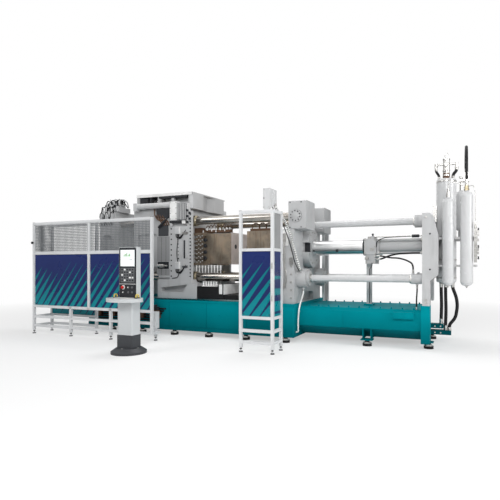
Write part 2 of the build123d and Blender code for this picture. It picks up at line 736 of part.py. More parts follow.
def moving_die_half():
    """Clamp plate and holder block, with a raised core on its parting face."""
    plate_x = MOVING_FACE_X + EJECTOR_T
    block_x = plate_x + CLAMP_PLATE_T
    half_w = DIE_W / 2
    half_h = DIE_H / 2
    body = block(plate_x, block_x, -half_w, half_w, AXIS_Z - half_h, AXIS_Z + half_h)
    body += block(block_x, MOVING_DIE_X, -half_w, half_w, AXIS_Z - half_h + 30,
                  AXIS_Z + half_h - 30)
    for side in (-half_w, half_w):
        for i in range(4):
            body -= bar_y(side - 60, side + 60, plate_x + 52, AXIS_Z - 255 + i * 170, 64)
    cavity = block(MOVING_DIE_X - 45, MOVING_DIE_X, -260, 260, AXIS_Z - 180, AXIS_Z + 180)
    body -= softened(cavity, 60, Axis.X)
    core = block(MOVING_DIE_X - 45, MOVING_DIE_X - 5, -160, 160, AXIS_Z - 100, AXIS_Z + 100)
    return body + softened(core, 50, Axis.X)


def top_housing():
    """Flat housing over the moving platen, with open sides and a faceted front."""
    half = HOOD_HALF
    bottom = ROOF_Z - HOOD_H
    left = HOUSING_LEFT + ROOF_IN
    front = MOVING_FACE_X + HOOD_OUT
    under = ROOF_Z - ROOF_T
    roof = block(left, front, -half, half, under, ROOF_Z)
    folds = [(front - 60, -half), (front, -half + 40), (front, -290), (front - 70, 0),
             (front, 290), (front, half - 40), (front - 60, half), (front - 95, half),
             (front - 95, -half)]
    roof += profile_z(folds, bottom, ROOF_Z)
    posts = ((left, HOUSING_TOP_Z), (left + 590, HOUSING_TOP_Z), (MOVING_BACK_X - 75, MOVING_TOP_Z))
    for x, low in posts:
        for side in (-1, 1):
            y0, y1 = sorted((side * (half - 15), side * (half - 85)))
            roof += block(x, x + 70, y0, y1, low, under)
    core = block(REAR_BODY_X + 5, front - 160, -half + 160, half - 160, MOVING_TOP_Z, under)
    return roof + core


def top_cylinders():
    """Long cylinders beside the roof, with a plain and a ribbed block on the moving platen."""
    pieces = []
    z = TOP_CYLINDER_Z
    x0 = HOUSING_LEFT + 100
    x1 = MOVING_BACK_X
    x2 = x1 + TOP_BLOCK_L
    x3 = x2 + RIBBED_BLOCK_L
    high = z + TOP_CYLINDER_D / 2
    for side in (-1, 1):
        tube = bar_x(x0, x1, side * TOP_CYLINDER_Y, z, TOP_CYLINDER_D)
        y0, y1 = sorted((side * CORNER_HALF, side * PLATEN_HALF))
        tube += block(x1, x2, y0, y1, TOP_BLOCK_Z, high)
        tube += block(x2, x3, y0, y1, TOP_BLOCK_Z, high - 50)
        for i in range(5):
            x = x2 + i * RIBBED_BLOCK_L / 5
            tube -= block(x, x + 16, side * PLATEN_HALF - 14, side * PLATEN_HALF + 14,
                          TOP_BLOCK_Z, high)
        y0, y1 = sorted((side * REAR_HOUSING_W / 2, side * (TOP_CYLINDER_Y + 70)))
        tube += block(x0, x0 + 80, y0, y1, z - 106, z + 74)
        pieces.append(tube)
    return pieces


def way_cover():
    """Stepped black cover over the ways, from the shoes to the fixed platen."""
    x0 = CHEEK_X + SHOE_NOSE_L
    half = COVER_HALF
    body = block(x0, COVER_STEP_X, -half, half, COVER_Z0, COVER_Z0 + 271)
    body += block(COVER_STEP_X - 115, COVER_STEP_X, -half, half, COVER_Z0 + 271, COVER_Z0 + 325)
    return body + block(COVER_STEP_X, COVER_END_X, -half + 30, half - 30, COVER_Z0, COVER_Z0 + 99)


# Shot unit


def shot_sleeve():
    """Shot sleeve through the fixed platen, with a collar against the platen."""
    sleeve = bar_x(-SLEEVE_IN, SLEEVE_END, 0, SHOT_Z, SLEEVE_D)
    sleeve += bar_x(PLATE_T + BAND_T, PLATE_T + BAND_T + 30, 0, SHOT_Z, SLEEVE_D + 80)
    sleeve -= bar_x(-SLEEVE_IN, SLEEVE_END, 0, SHOT_Z, SLEEVE_BORE_D)
    return sleeve


def plunger():
    """Plunger tip in the sleeve, its rod and the coupling before the shot cylinder."""
    tip_right = SLEEVE_END - 10
    tip_left = tip_right - PLUNGER_TIP_L
    body = bar_x(tip_left, tip_right, 0, SHOT_Z, SLEEVE_BORE_D - 2 * TIP_CLEAR)
    end = FRONT_CYLINDER_X + PLUNGER_TRAVEL + 60
    return body + bar_x(tip_right, end, 0, SHOT_Z, PLUNGER_ROD_D)


def shot_cylinder_front():
    """Front shot cylinder, with a gland ring, an end ring and a switch rail."""
    x0 = FRONT_CYLINDER_X
    x1 = VALVE_BLOCK_X
    body = bar_x(x0, x1, 0, SHOT_Z, FRONT_CYLINDER_D)
    body += bar_x(x0, x0 + 60, 0, SHOT_Z, FRONT_CYLINDER_D + 40)
    body += bar_x(x1 - END_RING_L, x1, 0, SHOT_Z, FRONT_CYLINDER_D + 50)
    half = FRONT_CYLINDER_D / 2
    body += block(x0 + 60, x1 - END_RING_L, -half - 22, -half + 30, SHOT_Z - 26, SHOT_Z + 6)
    bore = bar_x(x0, x0 + PLUNGER_TRAVEL + 120, 0, SHOT_Z, PLUNGER_ROD_D + 2 * BAR_CLEAR)
    return body - bore


def shot_valve_block():
    x0 = VALVE_BLOCK_X
    x1 = REAR_CYLINDER_X
    body = block(x0, x1, -240, 240, SHOT_Z - 160, SHOT_Z + 155)
    body += block(x0 + 25, x1 - 15, -220, 220, SHOT_Z - 345, SHOT_Z - 160)
    body = softened(body, 12, Axis.Z)
    body += bar_z(SHOT_Z + 155, SHOT_Z + 205, x0 + 165, -180, 60)
    return body


def shot_cylinder_rear():
    """Rear shot cylinder with four tie rods and its end flanges."""
    x0 = REAR_CYLINDER_X
    x1 = FRAME_X
    body = bar_x(x0, x1, 0, SHOT_Z, REAR_CYLINDER_D)
    reach = FLANGE_REACH
    for y in (-reach, reach):
        for z in (-reach, reach):
            body += bar_x(x0, x1, y, SHOT_Z + z, CYLINDER_TIE_D)
    half = reach + 30
    for x in (x0, x1 - 45):
        body += block(x, x + 45, -half, half, SHOT_Z - half, SHOT_Z + half)
    return body


def position_rods():
    """Thin measuring rod beside the shot cylinder."""
    z = SHOT_Z + 190
    return bar_x(VALVE_BLOCK_X + 195, FRAME_X, -180, z, 24)


def shot_rods():
    """Rods that carry the end frame: two from the lower bars and one at the top middle."""
    pieces = [bar_x(PLATE_T + BAND_T, FRAME_X - TOP_BOSS_L, 0, UPPER_ROD_Z, ROD_D)]
    start = PLATE_T + BAND_T + LOCK_CAN_L + LOCK_FLANGE_T
    for y, z in LOWER_PLACES:
        pieces.append(bar_x(start, FRAME_X - BOSS_L, y, z, LOWER_ROD_D))
    return pieces


def end_frame():
    """Cast end frame: a portal whose side narrows to the leg, with the rod bosses."""
    x0 = FRAME_X
    x1 = FRAME_X + FRAME_T
    neck = x0 + FRAME_NECK_T
    foot_z = STAND_TOP
    outline = [(x0, foot_z), (neck, foot_z), (neck, FRAME_SHOULDER_Z), (x1, FRAME_SHOULDER_Z + 110),
               (x1, FRAME_TOP_Z - FRAME_SLOPE_H),
               (neck + 60, FRAME_TOP_Z - 60), (neck, FRAME_TOP_Z), (x0, FRAME_TOP_Z)]
    half = FRAME_W / 2
    body = profile_y(outline, -half, half)
    inner = half - LEG_W
    body -= block(x0, x1, -inner, inner, foot_z, PORTAL_TOP_Z)
    body -= block(neck, x1, -inner, inner, PORTAL_TOP_Z, FRAME_TOP_Z)
    body += bar_x(x0 - TOP_BOSS_L, x0, 0, UPPER_ROD_Z, TOP_BOSS_D)
    reach = BOSS_D / 2 + PORT_OUT
    for y, z in LOWER_PLACES:
        body += bar_x(x0 - BOSS_L, x0, y, z, BOSS_D)
        body += bar_z(z, z + reach, x0 - TOP_PORT_IN, y, PORT_D)
        body += bar_z(z - reach, z, x0 - PORT_IN, y, PORT_D)
    return body


def cylinder_support():
    """Column that carries the valve block on the shot base."""
    x = VALVE_BLOCK_X + SUPPORT_IN
    foot = block(x - SUPPORT_FOOT_L / 2, x + SUPPORT_FOOT_L / 2, -SUPPORT_FOOT_W / 2, SUPPORT_FOOT_W / 2,
                 SHOT_BASE_TOP, SHOT_BASE_TOP + SUPPORT_FOOT_T)
    column = block(x - SUPPORT_L / 2, x + SUPPORT_L / 2, -SUPPORT_W / 2, SUPPORT_W / 2,
                   SHOT_BASE_TOP + SUPPORT_FOOT_T, SHOT_Z - SUPPORT_DOWN)
    return foot + column


# Accumulators


def bottle(x, y, z0, z1, diameter):
    """Gas bottle: a drawn shell with a domed foot, a shoulder and a neck."""
    r = diameter / 2
    neck = r * 0.32
    body = bar_z(z0 + r * 0.6, z1 - r * 0.9, x, y, diameter)
    outline = [(0, z0), (neck, z0), (r * 0.75, z0 + r * 0.18), (r, z0 + r * 0.6), (0, z0 + r * 0.6)]
    foot = revolve(make_face(Polyline(*[(a, 0, b) for a, b in outline], close=True)), Axis.Z)
    top = [(0, z1 - r * 0.9), (r, z1 - r * 0.9), (r * 0.82, z1 - r * 0.4), (neck, z1 - r * 0.15),
           (neck, z1), (0, z1)]
    head = revolve(make_face(Polyline(*[(a, 0, b) for a, b in top], close=True)), Axis.Z)
    return body + Pos(x, y, 0) * foot + Pos(x, y, 0) * head


def gas_bottles():
    pieces = [bottle(x, BOTTLE_Y, BOTTLE_Z, BOTTLE_Z + BOTTLE_H + BOTTLE_STEP * i, BOTTLE_D)
              for i, x in enumerate(BOTTLE_X)]
    pieces.append(bottle(REAR_BOTTLE_X, REAR_BOTTLE_Y, REAR_BOTTLE_Z, REAR_BOTTLE_TOP_Z, BOTTLE_D))
    return pieces


def piston_accumulator():
    body = bar_z(PISTON_Z, PISTON_TOP_Z, PISTON_X, PISTON_Y, PISTON_D)
    rims = body.edges().filter_by(GeomType.CIRCLE)
    return chamfer(rims, 18)


def accumulator_bracket():
    """Two rack plates from the end frame, each cut round the accumulators it holds."""
    pieces = []
    hold = 2 * BAR_CLEAR
    for z in RACK_ZS:
        plate = block(FRAME_X + FRAME_NECK_T, RACK_RIGHT, BOTTLE_Y, REAR_BOTTLE_Y + 150, z, z + RACK_T)
        plate = softened(plate, 8, Axis.Z)
        plate -= bar_z(z, z + RACK_T, PISTON_X, PISTON_Y, PISTON_D + hold)
        for x in BOTTLE_X:
            plate -= bar_z(z, z + RACK_T, x, BOTTLE_Y, BOTTLE_D + hold)
        pieces.append(plate)
    seat = bar_z(RACK_ZS[1] + RACK_T, REAR_BOTTLE_Z, REAR_BOTTLE_X, REAR_BOTTLE_Y, 110)
    pieces[1] += seat
    return pieces


def accumulator_valves():
    """Valve head on the piston accumulator, fittings on the bottles, and the charging rail."""
    head = bar_z(PISTON_TOP_Z, HEAD_Z, PISTON_X, PISTON_Y, HEAD_NECK_D)
    head += bar_z(PISTON_TOP_Z + 60, PISTON_TOP_Z + 90, PISTON_X, PISTON_Y, HEAD_COLLAR_D)
    head += bar_z(HEAD_Z, HEAD_Z + 200, PISTON_X, PISTON_Y, HEAD_D)
    for end in (HEAD_LEFT_X, HEAD_RIGHT_X):
        x0, x1 = sorted((PISTON_X, end))
        head += bar_x(x0, x1, PISTON_Y, HEAD_Z + 120, 34)
        head += bar_z(HEAD_Z + ELBOW_LOW, HEAD_Z + 145, end, PISTON_Y, 56)
    for side in (-1, 1):
        head += bar_z(HEAD_Z + 200, HEAD_Z + 380, PISTON_X + side * 26, PISTON_Y, 14)
    head += bar_x(PISTON_X - 26, PISTON_X + 26, PISTON_Y, HEAD_Z + 380, 14)
    pieces = [head]
    for i, x in enumerate(BOTTLE_X):
        top = BOTTLE_Z + BOTTLE_H + BOTTLE_STEP * i
        pieces.append(bar_z(top, top + FITTING_H, x, BOTTLE_Y, BOTTLE_FITTING_D))
    cap_z = CAP_TOP_Z - CAP_H
    cap = bar_z(REAR_BOTTLE_TOP_Z, cap_z, REAR_BOTTLE_X, REAR_BOTTLE_Y, 60)
    cap += block(REAR_BOTTLE_X - 30, REAR_BOTTLE_X + 140, REAR_BOTTLE_Y - 80, REAR_BOTTLE_Y + 80,
                 cap_z, CAP_TOP_Z)
    pieces.append(cap)
    rail = block(VALVE_RAIL_X - 25, VALVE_RAIL_X + 25, BOTTLE_Y - 60, BOTTLE_Y,
                 VALVE_RAIL_Z, VALVE_RAIL_Z + VALVE_RAIL_H)
    for z in (VALVE_RAIL_Z + 80, VALVE_RAIL_Z + 280, VALVE_RAIL_Z + 580):
        rail += bar_x(VALVE_RAIL_X + 25, VALVE_RAIL_X + 58, BOTTLE_Y - 30, z, 36)
    pieces.append(rail)
    return pieces


def floor_manifold():
    """Two stepped hose manifolds on the end frame's stand."""
    x0 = SHOT_BASE_RIGHT + FAR_STAND_L
    front = PISTON_Y - 90
    back = PISTON_Y + 90
    low = MANIFOLD_LOW_Z - MANIFOLD_T
    body = block(x0, PISTON_X - 47, front, back, MANIFOLD_TOP_Z - MANIFOLD_T, MANIFOLD_TOP_Z)
    body += block(x0, PISTON_X + 87, front, back, low, MANIFOLD_LOW_Z)
    return body + block(x0, x0 + 60, front, back, low, MANIFOLD_TOP_Z)


def accumulator_hoses():
    """Hoses from the piston accumulator to the floor manifold, and those at the top."""
    y = PISTON_Y
    left = PISTON_X - 90
    mid = PISTON_X - 12
    bend = PISTON_X + 111
    down = PISTON_X + 54
    pieces = [
        hose([(left, y, PISTON_Z), (left, y, 1010), (left + 8, y, 760), (left, y, 540),
              (left, y, MANIFOLD_TOP_Z)], HOSE_D),
        hose([(mid, y, PISTON_Z), (mid, y, 960), (mid + 8, y, 660), (mid, y, 420),
              (mid, y, MANIFOLD_LOW_Z)], HOSE_D),
        hose([(bend, y, PISTON_Z), (bend, y, 1090), (bend + 68, y, 900), (bend + 84, y, 740),
              (bend + 50, y, 520), (down, y, 390), (down, y, MANIFOLD_LOW_Z)], HOSE_D),
    ]
    z = HEAD_Z + ELBOW_LOW
    bend_z = (z + PISTON_TOP_Z) / 2
    for x, end, size in ((HEAD_LEFT_X, PISTON_X - 129, SIDE_HOSE_D),
                         (HEAD_RIGHT_X, PISTON_X + 118, RIGHT_HOSE_D)):
        pieces.append(hose([(x, y, z), (x, y, bend_z + 45), (end, y, bend_z - 30),
                            (end, y, PISTON_TOP_Z)], size))
    x = BOTTLE_X[1]
    y0 = BOTTLE_Y
    y1 = REAR_BOTTLE_Y
    top = BOTTLE_Z + BOTTLE_H + BOTTLE_STEP + FITTING_H
    pieces.append(hose([(x, y0, top), (x, y0, top + 400), (x, y0 + 90, top + 670),
                        (x, (y0 + y1) / 2, top + 770), (x, y1 - 90, top + 670),
                        (x, y1, top + 490), (x, y1, CAP_TOP_Z)], ARCH_HOSE_D))
    return pieces


def side_block():
    """Valve block on the left flank of the piston accumulator."""
    edge = PISTON_X - PISTON_D / 2
    body = block(edge - 60, edge + 40, PISTON_Y - 60, PISTON_Y + 60, SIDE_BLOCK_Z, SIDE_BLOCK_TOP_Z)
    return body - bar_z(SIDE_BLOCK_Z, SIDE_BLOCK_TOP_Z, PISTON_X, PISTON_Y, PISTON_D + 2 * BAR_CLEAR)


def shot_hoses():
    """Hoses between the valve block, the rear cylinder and the end frame."""
    x0 = REAR_CYLINDER_X - 15
    z = SHOT_Z - 250
    y = -150
    beside = y - 35
    first = hose([(x0, y, z), (x0 + 110, y, z), (x0 + 250, beside, z + 60),
                  (x0 + 420, beside - 15, z + 100), (x0 + 660, beside, z + 110),
                  (FRAME_X, beside, z + 110)], SHOT_HOSE_D)
    y1 = LOWER_PLACES[0][0]
    port = BOSS_D / 2 + PORT_OUT
    bar_z0 = AXIS_Z - BAR_HALF
    x = FRAME_X - TOP_PORT_IN
    y = -205
    second = hose([(x0, y, z + 60), (x0 + 110, y, z + 60), (x0 + 290, y - 40, z + 20),
                   (x0 + 450, y - 130, z + 15), (x0 + 610, y - 280, z - 25),
                   (x, y1, z - 100), (x, y1, bar_z0 + port)], FRAME_HOSE_D)
    x = FRAME_X - PORT_IN
    third = hose([(x, y1, bar_z0 - port), (x, y1, 1040), (x - 10, y1, 900),
                  (x - 10, y1, SHOT_BASE_TOP)], SMALL_HOSE_D)
    return [first, second, third]


# Junction box and its conduit


def junction_box():
    """Wall box on a short bracket on the tower's front, with a slanted gland plate behind."""
    left = BOX_RIGHT - BOX_W
    front = TOWER_FRONT_Y
    low = BOX_LOW_Z
    outline = [(front, low), (BOX_BACK_Y - CHAMFER_W, low), (BOX_BACK_Y, low + CHAMFER_H),
               (BOX_BACK_Y, BOX_TOP_Z), (front, BOX_TOP_Z)]
    body = profile_x(outline, left, BOX_RIGHT)
    return body + block(left + 20, BOX_RIGHT - 20, front, front + POST, GUARD_H, low)


def conduits():
    """Corrugated conduit from the junction box, and the white lead down to the base."""
    x = BOX_RIGHT - 25
    slope = math.hypot(CHAMFER_W, CHAMFER_H)
    out_y = CHAMFER_H / slope
    out_z = -CHAMFER_W / slope
    start_y = BOX_BACK_Y - CONDUIT_IN
    start_z = BOX_LOW_Z + CHAMFER_H * (1 - CONDUIT_IN / CHAMFER_W)
    can_x = PLATE_T + BAND_T + LOCK_CAN_L / 2
    can_z = AXIS_Z - BAR_HALF
    tilt = math.radians(GLAND_TILT)
    into_y = -math.sin(tilt)
    into_z = math.cos(tilt)
    reach = LOCK_CAN_D / 2 + GLAND_OUT
    end_y = -BAR_HALF + into_y * reach
    end_z = can_z + into_z * reach
    first = hose([(x, start_y, start_z), (x, start_y + 103 * out_y, start_z + 103 * out_z),
                  *CONDUIT_ROUTE, (can_x, end_y + into_y * 200, end_z + into_z * 200),
                  (can_x, end_y, end_z)], CONDUIT_D)
    lead_x = BASE_RIGHT + 45
    low = BASE_Z + 100
    second = hose([(can_x, -BAR_HALF, can_z - reach), (can_x, -BAR_HALF, 950),
                   (lead_x + 15, LEAD_Y + 30, 700), (lead_x, LEAD_Y, 480), (lead_x, LEAD_Y, low),
                   (BASE_RIGHT, LEAD_Y, low)], LEAD_D)
    return [first, second]


# Guards


def level_foot(x, y):
    """Threaded levelling foot: a small pad and its stem."""
    pad = bar_z(0, 16, x, y, LEVEL_FOOT_D)
    return pad + bar_z(16, LEVEL_FOOT_H, x, y, 24)


def footed_post(x, y, top):
    """Upright square tube on a levelling foot; x and y are its middle."""
    half = POST / 2
    return level_foot(x, y) + block(x - half, x + half, y - half, y + half, LEVEL_FOOT_H, top)


def rails_x(stops, y, z):
    """Rails along the machine between upright pieces; y is the rail's middle."""
    half = POST / 2
    return [block(a + half, b - half, y - half, y + half, z, z + POST)
            for a, b in zip(stops, stops[1:])]


def rail_y(x, y0, y1, z):
    """Rail across the machine between two upright pieces whose middles are y0 and y1."""
    half = POST / 2
    return block(x - half, x + half, y0 + half, y1 - half, z, z + POST)


def row_rails(ends, mullions, legs, y):
    """All the rails of one row: two low ones, the panel rail, the middle and the top rail."""
    left, right = ends
    pieces = []
    for z in GUARD_RAIL_ZS:
        pieces += rails_x((left, *legs, right), y, z)
    pieces += rails_x((left, right), y, GUARD_PANEL_Z)
    pieces += rails_x((left, *mullions, right), y, GUARD_MID_Z)
    pieces += rails_x((left, right), y, GUARD_H - POST)
    return pieces


def mullion_post(x, y):
    half = POST / 2
    return block(x - half, x + half, y - half, y + half, GUARD_PANEL_Z + POST, GUARD_H - POST)


def guard_posts():
    """Posts, mullion and legs of the guard; its right post hangs on the low rails."""
    y = GUARD_FRONT_Y + POST / 2
    back = GUARD_BACK_Y + POST / 2
    left = GUARD_LEFT + POST / 2
    pieces = [footed_post(left, y, GUARD_H), footed_post(left, back, GUARD_H)]
    pieces.append(footed_post(GUARD_BACK_RIGHT, back, GUARD_H))
    pieces += [footed_post(x, y, GUARD_PANEL_Z) for x in GUARD_LEGS]
    pieces.append(mullion_post(GUARD_MULLION, y))
    pieces.append(block(GUARD_RIGHT - POST, GUARD_RIGHT, GUARD_FRONT_Y, GUARD_FRONT_Y + POST,
                        GUARD_RAIL_ZS[0], GUARD_H))
    return pieces


def guard_rails():
    y = GUARD_FRONT_Y + POST / 2
    back = GUARD_BACK_Y + POST / 2
    left = GUARD_LEFT + POST / 2
    pieces = row_rails((left, GUARD_RIGHT - POST / 2), (GUARD_MULLION,), GUARD_LEGS, y)
    pieces += row_rails((left, GUARD_BACK_RIGHT), (), (), back)
    for z in (*GUARD_RAIL_ZS, GUARD_PANEL_Z, GUARD_MID_Z, GUARD_H - POST):
        pieces.append(rail_y(left, y, back, z))
    return pieces


def guard_corner_foot():
    """Low rails from the guard's right post to a covered corner post on its own foot."""
    right = GUARD_RIGHT
    x = GUARD_CORNER_X
    y = GUARD_CORNER_Y
    half = POST / 2
    z = GUARD_RAIL_ZS[0]
    body = footed_post(x, y, COVER_Z + COVER_H)
    body += block(x - POST, x + POST, y - POST, y + POST, COVER_Z, COVER_Z + COVER_H)
    body += block(x, right - POST, y - half, y + half, z, z + POST)
    return body + block(right - POST, right, GUARD_FRONT_Y + POST, y + half, z, z + POST)


def sheet_y(x0, x1, y, z0, z1):
    return block(x0, x1, y - SHEET_T / 2, y + SHEET_T / 2, z0, z1)


def sheet_x(x, y0, y1, z0, z1):
    return block(x - SHEET_T / 2, x + SHEET_T / 2, y0, y1, z0, z1)


def guard_bays():
    left = GUARD_LEFT + POST
    mullion = GUARD_MULLION
    return ((left, mullion - POST / 2), (mullion + POST / 2, GUARD_RIGHT - POST))


def guard_panels():
    """Closed sheets in the lower half of the guard, and on its left end."""
    y = GUARD_FRONT_Y + POST / 2
    low = GUARD_PANEL_Z + POST
    sheets = [sheet_y(x0, x1, y, low, GUARD_MID_Z) for x0, x1 in guard_bays()]
    sheets.append(sheet_x(GUARD_LEFT + POST / 2, GUARD_FRONT_Y + POST, GUARD_BACK_Y, low, GUARD_MID_Z))
    skirt = sheet_y(GUARD_LEFT + POST, GUARD_BACK_RIGHT - POST / 2, GUARD_BACK_Y + POST / 2,
                    GUARD_RAIL_ZS[1] + POST, GUARD_PANEL_Z)
    return sheets + [skirt]


def guard_mesh():
    """Mesh windows in the upper half of the guard."""
    y = GUARD_FRONT_Y + POST / 2
    low = GUARD_MID_Z + POST
    high = GUARD_H - POST
    sheets = [sheet_y(x0, x1, y, low, high) for x0, x1 in guard_bays()]
    sheets.append(sheet_x(GUARD_LEFT + POST / 2, GUARD_FRONT_Y + POST, GUARD_BACK_Y, low, high))
    return sheets


def rear_guard_posts():
    y = -GUARD_FRONT_Y - POST / 2
    ends = (GUARD_LEFT + POST / 2, REAR_GUARD_RIGHT - POST / 2)
    pieces = [footed_post(x, y, GUARD_H) for x in ends]
    pieces.append(footed_post(GUARD_LEGS[0], y, GUARD_PANEL_Z))
    return pieces + [mullion_post(GUARD_MULLION, y)]


def rear_guard_rails():
    ends = (GUARD_LEFT + POST / 2, REAR_GUARD_RIGHT - POST / 2)
    return row_rails(ends, (GUARD_MULLION,), GUARD_LEGS[:1], -GUARD_FRONT_Y - POST / 2)


def rear_guard_bays():
    left = GUARD_LEFT + POST
    mullion = GUARD_MULLION
    return ((left, mullion - POST / 2), (mullion + POST / 2, REAR_GUARD_RIGHT - POST))


def rear_guard_panels():
    y = -GUARD_FRONT_Y - POST / 2
    low = GUARD_PANEL_Z + POST
    return [sheet_y(x0, x1, y, low, GUARD_MID_Z) for x0, x1 in rear_guard_bays()]


def rear_guard_mesh():
    y = -GUARD_FRONT_Y - POST / 2
    low = GUARD_MID_Z + POST
    high = GUARD_H - POST
    return [sheet_y(x0, x1, y, low, high) for x0, x1 in rear_guard_bays()]


def towers():
    """Post middles of both towers: outer left, outer right and inner right of each L."""
    half = POST / 2
    width = TOWER_RIGHT - TOWER_LEFT - POST
    depth = TOWER_BACK_Y - TOWER_FRONT_Y - POST
    front = (TOWER_RIGHT - half - width, TOWER_RIGHT - half, TOWER_FRONT_Y + half,
             TOWER_BACK_Y - half)
    far = REAR_TOWER_Y + depth + half
    rear = (REAR_TOWER_RIGHT - half - width, REAR_TOWER_RIGHT - half, far, REAR_TOWER_Y + half)
    return front, rear


def tower_posts():
    """Three posts of each free-standing tower, which is an L in plan."""
    return [footed_post(x, y, GUARD_H) for left, right, outer, inner in towers()
            for x, y in ((left, outer), (right, outer), (right, inner))]


def tower_rails():
    pieces = []
    for left, right, outer, inner in towers():
        y0, y1 = sorted((outer, inner))
        for z in (*GUARD_RAIL_ZS, GUARD_PANEL_Z, GUARD_MID_Z, GUARD_H - POST):
            pieces += rails_x((left, right), outer, z)
            pieces.append(rail_y(right, y0, y1, z))
    return pieces


def tower_panels():
    """Closed sheets in the lower half of the operator's tower."""
    left, right, outer, inner = towers()[0]
    low = GUARD_PANEL_Z + POST
    half = POST / 2
    return [sheet_y(left + half, right - half, outer, low, GUARD_MID_Z),
            sheet_x(right, outer + half, inner - half, low, GUARD_MID_Z)]


def tower_sheets():
    """Light sheets: over the panel of the operator's tower, and on the side of the far one."""
    half = POST / 2
    low = GUARD_PANEL_Z + POST
    high = GUARD_MID_Z + POST
    top = GUARD_H - POST
    front, rear = towers()
    far_side = (rear[3] + half, rear[2] - half)
    return [sheet_x(front[1], front[2] + half, front[3] - half, high, top),
            sheet_x(rear[1], *far_side, low, GUARD_MID_Z), sheet_x(rear[1], *far_side, high, top)]


# Operator's console


def console_foot():
    """Round foot plate with a sloping rim, and the dark plinth on it."""
    x, y = CONSOLE_X, CONSOLE_Y
    foot = Pos(x, y, 0) * extrude(Circle(CONSOLE_FOOT_D / 2), amount=PLINTH_Z)
    foot = chamfer(foot.edges().filter_by(GeomType.CIRCLE).sort_by(Axis.Z)[-1], 55, 80)
    plinth = block(x - COLUMN_W / 2, x + COLUMN_W / 2, y - COLUMN_D / 2, y + COLUMN_D / 2,
                   PLINTH_Z, PLINTH_TOP)
    return foot + plinth


def console_column():
    x, y = CONSOLE_X, CONSOLE_Y
    body = block(x - COLUMN_W / 2, x + COLUMN_W / 2, y - COLUMN_D / 2, y + COLUMN_D / 2,
                 PLINTH_TOP, TRAY_Z)
    return softened(body, 25, Axis.Z)


def console_head():
    """Oval tray with a low rim, and the screen housing that stands on it."""
    x, y = CONSOLE_X, CONSOLE_Y
    plan = Ellipse(TRAY_HALF_W, TRAY_HALF_D)
    inner = Ellipse(TRAY_HALF_W - TRAY_WALL, TRAY_HALF_D - TRAY_WALL)
    tray = extrude(plan, amount=TRAY_RIM_H)
    tray -= Pos(0, 0, TRAY_FLOOR) * extrude(inner, amount=TRAY_RIM_H)
    tray = Pos(x, y - TRAY_OUT, TRAY_Z) * tray
    head = block(x - HEAD_W / 2, x + HEAD_W / 2, y - 30, y + 76, TRAY_Z + TRAY_FLOOR, CONSOLE_H)
    head = softened(head, 14, Axis.Z)
    return tray + head


def main():
    os.makedirs("parts", exist_ok=True)
    save("clamp_base", clamp_base())
    save("machine_feet", *machine_feet())
    save("shot_base", shot_base())
    save("slide_rails", *slide_rails())
    save("fixed_platen", fixed_platen())
    save("bar_lock_housings", *bar_lock_housings())
    save("tie_bars", *tie_bars())
    save("fixed_die_half", fixed_die_half())
    save("end_platen", end_platen())
    save("bar_nuts", *bar_nuts())
    save("closing_cylinder", closing_cylinder())
    save("clamp_valves", *clamp_valves())
    save("moving_platen", moving_platen())
    save("bar_bushes", *bar_bushes())
    save("platen_shoes", *platen_shoes())
    save("platen_rear_body", platen_rear_body())
    save("closing_rod", closing_rod())
    save("ejector_box", ejector_box())
    save("moving_die_half", moving_die_half())
    save("top_housing", top_housing())
    save("top_cylinders", *top_cylinders())
    save("way_cover", way_cover())
    save("shot_sleeve", shot_sleeve())
    save("plunger", plunger())
    save("shot_cylinder_front", shot_cylinder_front())
    save("shot_valve_block", shot_valve_block())
    save("shot_cylinder_rear", shot_cylinder_rear())
    save("position_rods", position_rods())
    save("shot_rods", *shot_rods())
    save("end_frame", end_frame())
    save("cylinder_support", cylinder_support())
    save("gas_bottles", *gas_bottles())
    save("piston_accumulator", piston_accumulator())
    save("accumulator_bracket", *accumulator_bracket())
    save("accumulator_valves", *accumulator_valves(), side_block())
    save("floor_manifold", floor_manifold())
    save("accumulator_hoses", *accumulator_hoses())
    save("shot_hoses", *shot_hoses())
    save("junction_box", junction_box())
    save("conduits", *conduits())
    save("guard_posts", *guard_posts())
    save("guard_rails", *guard_rails())
    save("guard_corner_foot", guard_corner_foot())
    save("guard_panels", *guard_panels())
    save("guard_mesh", *guard_mesh())
    save("rear_guard_posts", *rear_guard_posts())
    save("rear_guard_rails", *rear_guard_rails())
    save("rear_guard_panels", *rear_guard_panels())
    save("rear_guard_mesh", *rear_guard_mesh())
    save("tower_posts", *tower_posts())
    save("tower_rails", *tower_rails())
    save("tower_panels", *tower_panels())
    save("tower_sheets", *tower_sheets())
    save("console_foot", console_foot())
    save("console_column", console_column())
    save("console_head", console_head())


main()
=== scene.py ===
"""Looks of a cold-chamber die casting machine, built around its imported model."""
import json
import math

import bmesh
import bpy
from mathutils import Euler, Matrix, Vector


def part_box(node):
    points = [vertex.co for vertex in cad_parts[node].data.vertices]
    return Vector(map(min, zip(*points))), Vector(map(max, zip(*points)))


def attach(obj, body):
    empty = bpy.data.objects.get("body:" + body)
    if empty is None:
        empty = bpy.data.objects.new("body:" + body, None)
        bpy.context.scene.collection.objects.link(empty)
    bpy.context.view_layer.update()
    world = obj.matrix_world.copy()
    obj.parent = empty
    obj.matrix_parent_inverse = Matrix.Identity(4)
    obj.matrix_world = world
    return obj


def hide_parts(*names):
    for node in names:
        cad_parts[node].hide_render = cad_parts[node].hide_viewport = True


bl_info = {
    "name": "Die casting machine dressing",
    "version": (1, 0, 0),
    "blender": (4, 5, 0),
    "location": "3D View > Sidebar > Die casting",
    "description": "Dresses a die casting machine with materials, fasteners, screens and fittings",
    "category": "Object",
}

